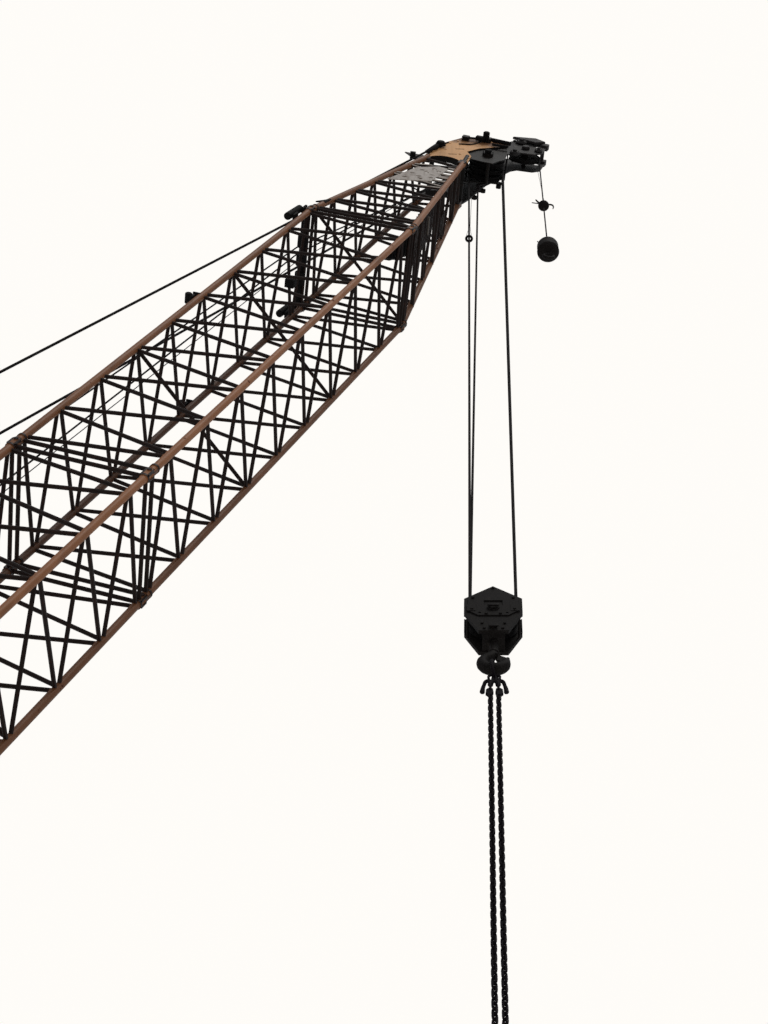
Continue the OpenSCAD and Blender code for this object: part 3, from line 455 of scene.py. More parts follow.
def ease(piece, width, segments=1, angle=50):
    """Rounds the hard edges of a piece."""
    alone(piece)
    edges = piece.modifiers.new("edges", "BEVEL")
    edges.width = width
    edges.segments = segments
    edges.limit_method = "ANGLE"
    edges.angle_limit = math.radians(angle)
    bpy.ops.object.modifier_apply(modifier=edges.name)
    return piece


def rod(start, end, radius, sides=14, end_radius=None):
    """Round bar between two points with eased rims, tapered where the end's radius is given."""
    start, end = Vector(start), Vector(end)
    run = end - start
    turn = run.to_track_quat("Z", "Y").to_euler()
    bpy.ops.mesh.primitive_cone_add(vertices=sides, radius1=radius, radius2=end_radius or radius,
                                    depth=run.length, location=(start + end) / 2, rotation=turn)
    piece = settle(bpy.context.object)
    return ease(piece, min(radius, end_radius or radius) * 0.2, 1, 60)


def block(centre, size, turn=(0, 0, 0), edge=0.006):
    """Box with eased edges."""
    bpy.ops.mesh.primitive_cube_add(size=1, location=centre, rotation=turn, scale=size)
    return ease(settle(bpy.context.object), edge, 2)


def slab(corners, through):
    """Flat piece with its corners given in space, as thick as the vector through."""
    bpy.ops.mesh.primitive_circle_add(vertices=len(corners), fill_type="NGON")
    piece = bpy.context.object
    for vertex, corner in zip(piece.data.vertices, corners):
        vertex.co = corner
    bpy.ops.object.mode_set(mode="EDIT")
    bpy.ops.mesh.select_all(action="SELECT")
    bpy.ops.mesh.extrude_region_move(TRANSFORM_OT_translate={"value": tuple(through)})
    bpy.ops.mesh.select_all(action="SELECT")
    bpy.ops.mesh.normals_make_consistent(inside=False)
    bpy.ops.object.mode_set(mode="OBJECT")
    return piece


def plate(outline, y, thickness, edge=0.004):
    """Flat plate of an outline in X and Z, its middle at y."""
    return ease(slab([(x, y - thickness / 2, z) for x, z in outline], (0, thickness, 0)), edge)


def hoop(at, radius, wire, segments, sides, turn=(0, 0, 0)):
    """Ring of round wire."""
    bpy.ops.mesh.primitive_torus_add(major_segments=segments, minor_segments=sides, major_radius=radius,
                                     minor_radius=wire, location=at, rotation=turn)
    return settle(bpy.context.object)


def tube(points, radius, smooth=True, shares=None, sides=2, closed=False):
    """Round bar along a line of points; shares scale its radius at each of them."""
    line = bpy.data.curves.new("line", "CURVE")
    line.dimensions = "3D"
    line.bevel_depth = radius
    line.bevel_resolution = sides
    line.resolution_u = 5
    line.use_fill_caps = not closed
    spline = line.splines.new("BEZIER" if smooth else "POLY")
    spots = spline.bezier_points if smooth else spline.points
    spots.add(len(points) - 1)
    for index, (spot, point) in enumerate(zip(spots, points)):
        spot.co = point if smooth else (*point, 1)
        spot.radius = shares[index] if shares else 1
        if smooth:
            spot.handle_left_type = spot.handle_right_type = "AUTO"
    spline.use_cyclic_u = closed
    piece = bpy.data.objects.new("line", line)
    bpy.context.scene.collection.objects.link(piece)
    alone(piece)
    bpy.ops.object.convert(target="MESH")
    return bpy.context.object


def bolt(at, axis, radius, length):
    """Hexagon bolt head that stands on a face at that point, along its axis."""
    return rod(at, Vector(at) + Vector(axis) * length, radius, 6)


def copies(master, places):
    """The master repeated at each place, every copy with its own mesh."""
    made = []
    for place in places:
        twin = master.copy()
        twin.data = master.data.copy()
        twin.data.transform(place)
        bpy.context.scene.collection.objects.link(twin)
        made.append(twin)
    bpy.data.objects.remove(master)
    return made


def across(y):
    """Step along Y."""
    return Vector((0, y, 0))


def lift(z):
    """Step along Z."""
    return Vector((0, 0, z))


def around(degrees, reach=1.0):
    """Step away from an axis along Y, at that angle."""
    turn = math.radians(degrees)
    return Vector((math.cos(turn), 0, math.sin(turn))) * reach


def finished(parts, name, body, finish, *stands_for, smooth=32):
    """Joins parts to one named piece, gives it its finish and lets it ride on a body, if one is named."""
    piece = settle(joined(list(parts)))
    bpy.ops.object.shade_smooth_by_angle(angle=math.radians(smooth))
    piece.name = name
    piece.data.name = name
    piece.data.materials.clear()
    piece.data.materials.append(FINISHES[finish])
    if body:
        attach(piece, body)
    if stands_for:
        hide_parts(*stands_for)
    return piece


# Places that the frame gives, and places counted from them

SIDES = (-1, 1)
HEAD = JOINT_AT["head_sheaves_turn"]
AUX = JOINT_AT["aux_sheave_turn"]
BLOCK = JOINT_AT["block_sheaves_turn"]
HEAD_PIN = JOINT_AT["stays_swing"]
SHEAVE_R = 0.275
BLOCK_R = 0.231
AUX_R = 0.25
BLOCK_ANGLE = math.radians(-7)
BLOCK_TURN = Matrix.Translation(BLOCK) @ Matrix.Rotation(BLOCK_ANGLE, 4, "Z") @ Matrix.Translation(-BLOCK)
HOOK_X = BLOCK.x
BOWL_Z = BLOCK.z - 0.84
SADDLE_Z = BOWL_Z - 0.052


def on_boom(u, w, y=0.0):
    """Point at a station and height of the boom."""
    return FOOT + ALONG * u + UPWARD * w + across(y)


def by_joint(u, w, y=0.0):
    """Point of the boom, its station counted from the joint of the tip section."""
    return on_boom(UPPER_END + u, w, y)


def by_head(u, w, y=0.0):
    """Point of the boom, its station counted from the end of the tip section."""
    return on_boom(TIP_END + u, w, y)


def flat_on_boom(place, outline, y, thickness, edge):
    """Plate of an outline whose corners are stations and heights of the boom."""
    return plate([place(u, w).xz for u, w in outline], y, thickness, edge)


# Hook block, hook and sling

BOWL_R = 0.11
BOWL_SHARES = {125: 0.93, 150: 0.96, 180: 1.0, 210: 1.04, 240: 1.08, 270: 1.1, 300: 1.08, 330: 1.02, 355: 0.88}


def make_hook():
    """Forged hook: a shank, a round bowl thickest at its foot and a point that turns outwards."""
    line = [(0, 0.52, 0.72), (0, 0.30, 0.72), (0, 0.20, 0.8), (-0.025, 0.125, 0.9)]
    line += [(*around(degrees, BOWL_R).xz, share) for degrees, share in BOWL_SHARES.items()]
    line += [(0.122, 0.045, 0.62), (0.135, 0.09, 0.3)]
    spots = [(HOOK_X + x, 0, BOWL_Z + z) for x, z, _ in line]
    body = tube(spots, 0.058, shares=[share for _, _, share in line], sides=5)
    nut = rod((HOOK_X, 0, BOWL_Z + 0.5305), (HOOK_X, 0, BOWL_Z + 0.5755), 0.068, 6)
    collar = rod((HOOK_X, 0, BOWL_Z + 0.17), (HOOK_X, 0, BOWL_Z + 0.205), 0.056, 24)
    flap = ((0.024, 0.05), (0.045, 0.14), (0.134, 0.078), (0.098, -0.006))
    latch = plate([(HOOK_X + x, BOWL_Z + z) for x, z in flap], 0, 0.03, 0.002)
    hinge = rod((HOOK_X + 0.03, -0.045, BOWL_Z + 0.125), (HOOK_X + 0.03, 0.045, BOWL_Z + 0.125), 0.012, 10)
    hook = finished([body, nut, collar, latch, hinge], "forged_hook", "hook_swivel", "block_paint", "hook")
    hook.data.transform(BLOCK_TURN)


RING_R = 0.105
RING_WIRE = 0.018
LEG_X = 0.038
LEG_TOP = SADDLE_Z - 0.522
LEG_L = 5.24
LINK_WIRE = 0.0105
LINK_PITCH = 0.060
LINKS = 86
GRIP = ((-0.024, 0.085), (-0.03, 0.02), (-0.012, -0.03), (0.02, -0.03), (0.045, 0.0), (0.04, 0.07),
        (0.012, 0.10))
HORN = ((-0.01, 0.0, 0.20), (0.03, 0.0, 0.24), (0.06, 0.02, 0.19), (0.076, 0.04, 0.10))
END_HOOK = ((0, 0), (0, -0.5), (-0.35, -1.0), (-0.45, -1.5), (-0.1, -1.95), (0.4, -1.85), (0.65, -1.4),
            (0.75, -0.95))
QUARTER = Matrix.Rotation(math.pi / 2, 4, "Z")


def stretched_link(radius, wire, stretch, segments=16, sides=8):
    """Oval chain link in the XZ plane round the origin."""
    link = hoop((0, 0, 0), radius, wire, segments, sides, (math.pi / 2, 0, 0))
    for vertex in link.data.vertices:
        vertex.co.z += math.copysign(stretch, vertex.co.z) if abs(vertex.co.z) > 0.001 else 0
    return link


def placed(piece, at, turn=Matrix.Identity(4)):
    """The piece turned round the origin, then moved to a point."""
    piece.data.transform(Matrix.Translation(at) @ turn)
    return piece


def chain_leg(top):
    """Chain that hangs from a point: links turned by a quarter from one to the next."""
    flat = stretched_link(0.0225, LINK_WIRE, 0.018, 12, 6)
    pair = joined(copies(flat, [Matrix.Identity(4), Matrix.Translation(lift(-LINK_PITCH)) @ QUARTER]))
    run = pair.modifiers.new("run", "ARRAY")
    run.count = LINKS // 2
    run.use_relative_offset = False
    run.use_constant_offset = True
    run.constant_offset_displace = (0, 0, -2 * LINK_PITCH)
    bpy.ops.object.modifier_apply(modifier=run.name)
    return placed(pair, top, Matrix.Rotation(math.pi / 4, 4, "Z"))


def small_hook(at, side, size):
    """Small open hook that hangs from a point and points to one side."""
    spots = [(at[0] + side * x * size, at[1], at[2] + z * size) for x, z in END_HOOK]
    return tube(spots, size * 0.3, shares=[0.7, 0.8, 0.95, 1, 1.1, 1, 0.75, 0.35], sides=3)


def make_sling():
    """Master ring on the hook, two branches with shortening hooks, and two chain legs with end hooks."""
    ring_z = SADDLE_Z + RING_WIRE - RING_R + 0.0003
    ring = stretched_link(RING_R - 0.012, RING_WIRE, 0.012, 32, 12)
    parts = [placed(ring, (HOOK_X, 0, ring_z), Matrix.Rotation(math.radians(75), 4, "Z"))]
    foot = ring_z - RING_R
    low = LEG_TOP - LEG_L
    for side in SIDES:
        x = HOOK_X + side * LEG_X
        parts += [
            placed(stretched_link(0.034, 0.013, 0.028), (HOOK_X + side * 0.018, 0, foot - 0.043),
                   Matrix.Rotation(side * 0.12, 4, "Y")),
            rod((HOOK_X + side * 0.028, 0, foot - 0.10), (x, 0, foot - 0.165), 0.027, 12),
            placed(stretched_link(0.030, 0.012, 0.03), (x, 0, foot - 0.20), QUARTER),
            plate([(x + a * side, LEG_TOP + b) for a, b in GRIP], 0, 0.038, 0.006),
            tube([(x + side * a, y, LEG_TOP + b) for a, y, b in HORN], 0.020, shares=[1.3, 1, 0.9, 1.25]),
            rod((x, -0.034, LEG_TOP + 0.062), (x, 0.034, LEG_TOP + 0.062), 0.011, 10),
            chain_leg((x, 0, LEG_TOP - 0.04)),
            placed(stretched_link(0.030, 0.013, 0.018), (x, 0, low - 0.015)),
            small_hook((x, 0, low - 0.055), side, 0.085)]
    sling = finished(parts, "sling_chains", "hook_swivel", "chain_steel", "sling")
    sling.data.transform(BLOCK_TURN)


BLOCK_FACE = 0.153
COVER_BOLTS = ((0, 0.405), (-0.20, 0.20), (0.20, 0.20), (-0.21, -0.03), (0.21, -0.03), (-0.07, -0.125),
               (0.07, -0.125))
CHEEK_BOLTS = ((-0.11, -0.30), (0.11, -0.30), (-0.09, -0.40), (0.09, -0.40))
ROPE_GUARDS = ((0.255, -0.15), (-0.255, -0.15), (0.255, 0.235), (-0.255, 0.235))


def make_block_details():
    """Bolts, pin keepers, side guards and rope guards on the hook block."""
    parts = []
    for side in SIDES:
        for face, spots in ((BLOCK_FACE, COVER_BOLTS), (0.14, CHEEK_BOLTS)):
            for x, z in spots:
                parts.append(bolt((HOOK_X + x, side * face, BLOCK.z + z), (0, side, 0), 0.017, 0.014))
        parts.append(rod((HOOK_X, side * 0.165, BLOCK.z), (HOOK_X, side * 0.182, BLOCK.z), 0.05, 24))
        parts.append(block((HOOK_X, side * 0.187, BLOCK.z), (0.12, 0.012, 0.04)))
        parts.append(block((HOOK_X, side * 0.168, BLOCK.z - 0.39), (0.10, 0.012, 0.035)))
        for end in SIDES:
            parts.append(block((HOOK_X + end * 0.283, side * 0.095, BLOCK.z + 0.063), (0.012, 0.03, 0.26)))
    for x, z in ROPE_GUARDS:
        parts.append(rod((HOOK_X + x, -0.10, BLOCK.z + z), (HOOK_X + x, 0.10, BLOCK.z + z), 0.013, 12))
    details = finished(parts, "block_fittings", "main_line", "block_paint")
    details.data.transform(BLOCK_TURN)


# Ropes that hang from the head

FALL_Y = 0.05
ROPE_R = 0.0135
STRANDS = 6
SWITCH_WEIGHT_DROP = 3.47
DEAD_END = HEAD + Vector((-0.122, FALL_Y, -0.568))
FALLS = ((HEAD + Vector((SHEAVE_R, -0.11, 0)), (BLOCK_R, -FALL_Y)),
         (HEAD + Vector((SHEAVE_R, 0, 0)), (BLOCK_R, FALL_Y)),
         (HEAD + Vector((-SHEAVE_R, 0, 0)), (-BLOCK_R, -FALL_Y)),
         (DEAD_END, (-BLOCK_R, FALL_Y)))
SOCKET = ((-0.026, 0.028), (0.026, 0.028), (0.030, -0.04), (0.022, -0.15), (-0.022, -0.15), (-0.034, -0.05))


def laid_rope(start, end):
    """Stretched wire rope whose round shows its strands."""
    run = end - start
    bpy.ops.mesh.primitive_cylinder_add(vertices=2 * STRANDS, radius=ROPE_R, depth=run.length,
                                        end_fill_type="NGON")
    piece = bpy.context.object
    for vertex in piece.data.vertices:
        angle = math.atan2(vertex.co.y, vertex.co.x)
        vertex.co.xy = vertex.co.xy * (1 + 0.12 * math.cos(STRANDS * angle))
    piece.rotation_euler = run.to_track_quat("Z", "Y").to_euler()
    piece.location = (start + end) / 2
    return settle(piece)


def make_hoist_ropes():
    """Four falls, the socket of the last one, and the ring weight of the hoist switch."""
    ends = [(top, BLOCK_TURN @ (BLOCK + Vector((x, y, 0)))) for top, (x, y) in FALLS]
    parts = [laid_rope(top, end) for top, end in ends]
    parts.append(plate([(DEAD_END.x + x, DEAD_END.z + z) for x, z in SOCKET], FALL_Y, 0.04, 0.004))
    parts.append(block(DEAD_END + Vector((-0.002, 0, -0.24)), (0.05, 0.03, 0.03)))
    top, end = ends[2]
    weight = top + (end - top) * (SWITCH_WEIGHT_DROP / (top.z - end.z))
    parts.append(hoop(weight, 0.042, 0.019, 24, 10))
    knot = weight + Vector((0.015, 0, 0.6))
    for side in SIDES:
        wire = [weight + Vector((side * 0.042, 0, 0)), weight + Vector((side * 0.03, 0, 0.25)), knot]
        parts.append(tube(wire, 0.003, sides=0))
    parts.append(tube([knot, top + Vector((0.06, 0, -0.42))], 0.003, False, sides=0))
    finished(parts, "hoist_rope_falls", "main_line", "rope_steel", "hoist_falls")


WEIGHT_HOOKS = {1: ((0.04, 0), (0.12, 0.03), (0.15, -0.05), (0.14, -0.18)),
                -1: ((0.04, 0.02), (0.09, 0.10), (0.12, 0.20))}


def make_ball_line():
    """Weight on the auxiliary line with its small hooks, the heavy end weight and its swivel cap."""
    line_x = AUX.x + AUX_R
    weight = Vector((line_x, 0, AUX.z - 2.594))
    parts = [rod(weight + lift(-0.1), weight + lift(0.1), 0.045, 20)]
    for side in SIDES:
        line = [weight + Vector((side * a, -0.02, b)) for a, b in WEIGHT_HOOKS[side]]
        parts.append(tube(line, 0.014, shares=[1, 1, 0.8, 0.5][:len(line)]))
    parts.append(tube([weight + Vector((-0.04, 0, 0.08)), weight + Vector((-0.16, 0.1, 0.42))], 0.008, False))
    parts.append(tube([weight + Vector((0.02, 0, 0.09)), AUX + Vector((0.2, 0, -0.42))], 0.003, False, sides=0))
    finished(parts, "line_weight_hooks", "aux_rope", "rope_steel")
    top = Vector((line_x, 0, AUX.z - 4.6))
    tail = [top + Vector((-0.08, 0, 0.0)), top + Vector((-0.12, 0, 0.08)), top + Vector((-0.15, 0, 0.17))]
    cap = [rod(top + lift(-0.03), top + lift(0.04), 0.095, 24, 0.07),
           rod(top + lift(0.04), top + lift(0.16), 0.05, 20, 0.026),
           rod(top + Vector((-0.09, 0, 0.0)), top + Vector((0.09, 0, 0.0)), 0.02, 12),
           tube(tail, 0.014, shares=[1, 0.8, 0.5]),
           hoop(top - lift(0.27), 0.157, 0.008, 48, 8)]
    barrel = ease(rod(top - lift(0.318), top - lift(0.002), 0.16, 48), 0.045, 4, 70)
    finished([barrel], "line_weight_barrel", "aux_rope", "block_paint", "line_ball")
    finished(cap, "ball_swivel_cap", "aux_rope", "block_paint")


# Boom head and jib

LEVEL = (0, -BOOM_ANGLE, 0)
HEAD_FACE = 0.345
HEAD_BOLTS = ((0.1, 0.43), (0.3, 0.44), (0.5, 0.44), (0.7, 0.42), (0.95, 0.34), (1.15, 0.26), (1.33, 0.20),
              (0.1, -0.17), (0.3, -0.17), (0.42, 0.02), (0.55, 0.3), (1.38, -0.05), (1.42, -0.25))
FAR_NUTS = ((0.58, -0.27), (1.03, -0.296), (1.43, -0.46))
HEAD_WIRE = ((0.96, 0.19), (1.012, 0.11), (1.045, 0.035), (1.209, -0.058), (1.40, -0.085))
TOP_WIRE = ((-0.4, 0.44), (0.1, 0.46), (0.6, 0.47), (0.95, 0.37))
SHACKLE = ((-0.028, -0.022, 0.0), (-0.03, -0.022, -0.05), (-0.004, 0, -0.085), (0.022, 0.022, -0.05),
           (0.022, 0.022, 0.0))


def make_head_details():
    """Bolts, pins, boxes, wires, rope keepers, shackle, lamp and wind gauge of the boom head."""
    bolts = []
    for side in SIDES:
        for u, w in HEAD_BOLTS:
            bolts.append(bolt(by_head(u, w, side * HEAD_FACE), (0, side, 0), 0.018, 0.014))
    finished(bolts, "head_bolts", "boom", "head_paint")
    dark = []
    for side in SIDES:
        pin = HEAD_PIN + across(side * 0.36)
        dark.append(rod(pin, pin + across(side * 0.085), 0.068, 24))
        dark.append(rod(by_head(1.40, -0.15, side * 0.34), by_head(1.40, -0.15, side * 0.52), 0.055, 8))
        dark.append(block(by_head(1.36, -0.07, side * 0.40), (0.10, 0.07, 0.16), LEVEL))
    outside = -HEAD_FACE - 0.03
    dark.append(rod(by_head(1.22, -0.306, outside), by_head(1.25, -0.583, outside), 0.022, 10))
    dark.append(rod(by_head(1.49, -0.233, outside), by_head(1.45, -0.57, outside), 0.035, 12))
    for degrees in (0, 45, 90, 135, 180):
        start = HEAD + around(degrees, 0.315) + across(-0.30)
        dark.append(rod(start, start + across(0.37), 0.014, 10))
    for y, outward in ((-0.37, -1), (0.13, 1)):
        end = HEAD + across(y)
        dark.append(rod(end, end + across(outward * 0.05), 0.065, 6))
        for degrees in range(0, 360, 60):
            dark.append(bolt(end + around(degrees, 0.078), (0, outward, 0), 0.011, 0.012))
    for u, w in FAR_NUTS:
        dark.append(rod(by_head(u, w, HEAD_FACE), by_head(u, w, HEAD_FACE + 0.065), 0.05, 6))
    dark.append(tube([by_head(u, w, -HEAD_FACE - 0.012) for u, w in HEAD_WIRE], 0.010))
    dark.append(tube([by_head(u, w, -HEAD_FACE - 0.01) for u, w in TOP_WIRE], 0.012))
    becket = HEAD - Vector((0.118, -FALL_Y, 0.497))
    dark.append(tube([becket + Vector(spot) for spot in SHACKLE], 0.008))
    dark.append(rod(becket - across(0.04), becket + across(0.04), 0.012, 10))
    lamp = by_head(-0.35, 0.60, -0.41)
    dark += [block(lamp, (0.09, 0.12, 0.07)), rod(lamp, by_head(-0.35, 0.50, -0.36), 0.012, 8)]
    mast = by_head(0.15, 0.50, 0.33)
    hub = mast + Vector((-0.25, 0, 0.36))
    dark.append(rod(mast, mast + Vector((-0.25, 0, 0.35)), 0.012, 8))
    for degrees in (0, 120, 240):
        arm = Matrix.Rotation(math.radians(degrees), 4, "Z") @ Vector((0.07, 0, 0))
        dark += [rod(hub, hub + arm, 0.004, 6), rod(hub + arm, hub + arm * 1.35, 0.022, 12, 0.006)]
    finished(dark, "head_fittings", "boom", "sheave_iron")


JIB_ROLLERS = ((1.72, -0.30, 0.11, 0.05), (1.62, -0.62, 0.085, 0.06), (2.36, -0.55, 0.10, 0.05),
               (2.05, -0.93, 0.07, 0.04))
JIB_PINS = ((1.30, 0.20), (1.55, 0.10), (1.85, -0.10), (2.10, -0.26), (2.40, -0.42), (2.50, -0.80))
BEAK = ((2.47, -0.36), (2.62, -0.74), (2.50, -0.94), (2.36, -0.80))


def make_jib_details():
    """Rollers, straps, boxes, rope keepers and the beak of the jib."""
    parts = []
    for u, w, radius, width in JIB_ROLLERS:
        at = by_head(u, w, -0.16)
        parts.append(rod(at - across(width), at, radius, 24))
        parts.append(rod(at - across(width + 0.035), at, radius * 0.45, 6))
        for degrees in range(0, 360, 60):
            spot = at + around(degrees, radius * 0.74) - across(width)
            parts.append(bolt(spot, (0, -1, 0), radius * 0.11, 0.012))
    parts.append(flat_on_boom(by_head, BEAK, -0.20, 0.05, 0.008))
    for u, w, y in ((2.50, -0.93, 0.15), (2.42, -0.96, -0.15)):
        parts.append(block(by_head(u, w, y), (0.14, 0.10, 0.11), LEVEL, 0.012))
    for side in SIDES:
        parts.append(rod(by_head(1.62, -0.479, 0.19), by_head(2.26, -0.60, 0.19), 0.026, 12))
        for u, w in JIB_PINS:
            parts.append(rod(by_head(u, w, side * 0.15), by_head(u, w, side * 0.185), 0.03, 6))
        parts.append(rod(AUX + across(side * 0.16), AUX + across(side * 0.215), 0.075, 6))
    for u, w, size in ((1.50, 0.21, 0.11), (1.98, -0.10, 0.13), (2.22, -0.24, 0.10)):
        parts.append(block(by_head(u, w, -0.12), (size, 0.10, size), (0, -BOOM_ANGLE + 0.4, 0), 0.015))
    for degrees in range(20, 200, 36):
        spot = AUX + around(degrees, 0.295)
        parts.append(rod(spot - across(0.14), spot + across(0.14), 0.012, 10))
    finished(parts, "jib_fittings", "boom", "jib_grey")


# Along the boom

GUARD = ((-1.40, -0.70), (0.10, -0.72), (1.00, -0.63), (1.02, -0.13), (0.82, -0.08), (0.15, -0.27),
         (-0.80, -0.49))
GUARD_BEND = (0.15, -0.27)
GUARD_RIBS = 17
PIPE = ((1.35, -0.50), (1.37, -0.38), (1.40, -0.22))
FIN = ((0.42, 0.68), (0.62, 0.66), (0.38, 0.82))
CHORD_ROLLERS = (23.188, 9.5, 14.2)
ROLLER_U = -0.1
ROLLER_W = 0.80


def by_belly(u, over, y):
    """Point over the belly chords near the joint of the tip section."""
    belly = -BOOM_D / 2 + max(0, u) * (BOOM_D / 2 + TIP_BELLY) / TIP_L
    return by_joint(u, belly + over, y)


def make_belly_panel():
    """Ribbed guard sheet at the belly beside the joint of the tip section, and a grey cable pipe."""
    parts = [slab([by_belly(u, 0.055, y) for u, y in GUARD], UPWARD * 0.008)]
    low = -0.70
    for step in range(GUARD_RIBS):
        u = -1.15 + step * 0.13
        past = u - GUARD_BEND[0]
        high = GUARD_BEND[1] + past * (0.28 if past > 0 else 0.275)
        if high - low > 0.05:
            parts.append(rod(by_belly(u, 0.04, low), by_belly(u, 0.04, high), 0.016, 6))
    finished(parts, "belly_guard", "boom", "sheave_iron")
    finished([tube([by_belly(u, -0.03, y) for u, y in PIPE], 0.02)], "cable_pipe", "boom", "worn_steel")


def make_boom_brackets():
    """Pendant guides, rollers and fins on the top chords, a cable box, and the rope rollers across the top."""
    dark = []
    for side in SIDES:
        y = side * BOOM_W / 2
        dark.append(rod(by_joint(-0.50, 0.93, y), by_joint(-0.05, 0.90, y), 0.055, 14))
        for u in (-0.42, -0.05):
            dark.append(block(by_joint(u, 0.835, y), (0.035, 0.09, 0.16), (0, math.pi / 2 - BOOM_ANGLE, 0)))
        dark.append(flat_on_boom(by_joint, FIN, y, 0.02, 0.003))
        for u in CHORD_ROLLERS:
            dark.append(rod(on_boom(u, 0.86, y - 0.07), on_boom(u, 0.86, y + 0.07), 0.045, 14))
            dark.append(block(on_boom(u, 0.815, y), (0.10, 0.10, 0.05), LEVEL))
            dark.append(block(on_boom(u + 0.12, 0.80, y), (0.03, 0.10, 0.10), LEVEL))
    dark.append(block(by_joint(-1.08, 0.60), (0.16, 0.12, 0.13), LEVEL))
    roller = by_joint(ROLLER_U, ROLLER_W)
    dark.append(rod(roller - across(0.66), roller + across(0.66), 0.045, 16))
    for y in (-0.28, 0.0, 0.28):
        dark.append(rod(roller + across(y - 0.10), roller + across(y + 0.10), 0.075, 20))
    finished(dark, "chord_brackets", "boom", "sheave_iron")


ROPE_RUNS = (("main_drum_turn", -0.05, 0.011, (-0.11, SHEAVE_R)), ("main_drum_turn", 0.06, 0.006, (-0.20, 0.2)),
             ("auxiliary_drum_turn", -0.16, 0.011, (0.0, 0.3)))


def make_rope_runs():
    """Hoist ropes and the switch cable from the winches over the boom's top to its head."""
    leads = []
    for joint, y, radius, (head_y, reach) in ROPE_RUNS:
        drum = JOINT_AT[joint] + Vector((0.02, y, 0.25))
        roller = by_joint(ROLLER_U, ROLLER_W + 0.075 + radius, y)
        run = tube([drum + (roller - drum) * (k / 12) for k in range(13)], radius, False, sides=1)
        run = finished([run], f"rope_run_{len(leads) + 1}", None, "rope_steel")
        tuple(on_boom(3.2, 1.2))
        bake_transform(run)
        leads.append(rod(roller, HEAD + Vector((-reach * 0.6, head_y, reach * 0.75)), radius, 8))
    finished(leads, "head_rope_leads", "boom", "rope_steel")


PENDANT_FOOT = Vector((0.05, 0, 11.78))
PENDANT_LINK = 18.3


def make_pendant_sockets():
    """Sockets at the ends of both pendants, and link plates where their parts meet."""
    spots = [vertex.co.y for vertex in NODES["pendants"].data.vertices if vertex.co.y > 0]
    run = (PENDANT_FOOT - HEAD_PIN).normalized()
    lean = math.atan2(-run.z, run.x)
    length = (PENDANT_FOOT - HEAD_PIN).length
    parts = []
    for side in SIDES:
        top = HEAD_PIN + across(side * sum(spots) / len(spots))
        link = top + run * PENDANT_LINK
        for y in (-0.035, 0.035):
            parts.append(block(link + across(y), (0.46, 0.016, 0.10), (0, lean, 0)))
        for way in SIDES:
            pin = link + run * (0.17 * way)
            parts.append(rod(pin - across(0.06), pin + across(0.06), 0.022, 10))
            parts.append(rod(pin + run * (0.02 * way), pin + run * (0.34 * way), 0.042, 14, 0.024))
        for start, way in ((0.16, 1), (length - 0.1, -1)):
            end = top + run * start
            parts.append(rod(end, end + run * (0.42 * way), 0.048, 14, 0.026))
    finished(parts, "pendant_sockets", "stays", "rope_steel")


# Crawlers, winches, cab and houses

SHOE_PATH_R = 0.56
TUMBLER_X = 2.36
TUMBLER_Z = 0.59
TRACK_Y = 2.155
SHOES = 50


def shoe_place(step):
    """Place of one track shoe along the loop round both tumblers."""
    straight, arc = 2 * TUMBLER_X, math.pi * SHOE_PATH_R
    half, run = divmod(step * 2 * (straight + arc) / SHOES, straight + arc)
    side = 1 if half == 0 else -1
    turn = max(0, run - straight) / SHOE_PATH_R
    angle = turn if half == 0 else math.pi + turn
    centre = Vector((side * (min(run, straight) - TUMBLER_X), 0, TUMBLER_Z))
    return Matrix.Translation(centre) @ Matrix.Rotation(-angle, 4, "Y") @ Matrix.Translation(lift(-SHOE_PATH_R))


def make_tracks():
    """Shoes with bars, link rails, pins and bolts round each crawler."""
    for side, name in ((1, "left"), (-1, "right")):
        shoe = [block((0, 0, 0), (0.238, 0.84, 0.034), edge=0.008)]
        shoe += [block((x, 0, -0.023), (0.03, 0.80, 0.014), edge=0.004) for x in (-0.09, 0.09)]
        for end in SIDES:
            shoe.append(block((0.01, end * 0.19, 0.045), (0.29, 0.05, 0.062), edge=0.008))
            shoe.append(rod((0.12, end * 0.133, 0.045), (0.12, end * 0.247, 0.045), 0.02, 10))
            shoe += [bolt((x, end * 0.27, -0.016), (0, 0, -1), 0.016, 0.012) for x in (0.05, -0.05)]
        master = settle(joined(shoe))
        middle = Matrix.Translation(across(side * TRACK_Y))
        loop = copies(master, [middle @ shoe_place(step) for step in range(SHOES)])
        finished(loop, f"track_shoes_{name}", "root", "shoe_steel", f"track_{name}")


def make_winches():
    """Rope wound on the three drums, flange bolts, gear cases and bearings."""
    fixed = []
    for body in ("main_drum", "auxiliary_drum", "luffing_drum"):
        drum = JOINT_AT[body + "_turn"]
        coil = hoop((0, 0, 0), 0.241, 0.0115, 32, 6, (math.pi / 2, 0, 0))
        turns = copies(coil, [Matrix.Translation(drum + across(-0.375 + 0.025 * step)) for step in range(31)])
        for degrees in range(0, 360, 45):
            for side in SIDES:
                spot = drum + around(degrees, 0.29) + across(side * 0.449)
                turns.append(bolt(spot, (0, side, 0), 0.016, 0.012))
        finished(turns, f"{body}_rope", body, "rope_steel")
        for side in SIDES:
            fixed.append(rod(drum + across(side * 0.53), drum + across(side * 0.66), 0.15, 24))
            fixed.append(block(drum + Vector((0, side * 0.575, -0.24)), (0.26, 0.06, 0.26)))
            fixed.append(rod(drum + across(side * 0.66), drum + across(side * 0.69), 0.09, 12))
    finished(fixed, "winch_cases", "upper", "frame_paint")


CAB_SIDE = -1.93
CAB_ROOF = 3.20
CAB_RAIL = ((0.01, 1.75), (-0.06, 1.80), (-0.06, 2.60), (0.01, 2.65))


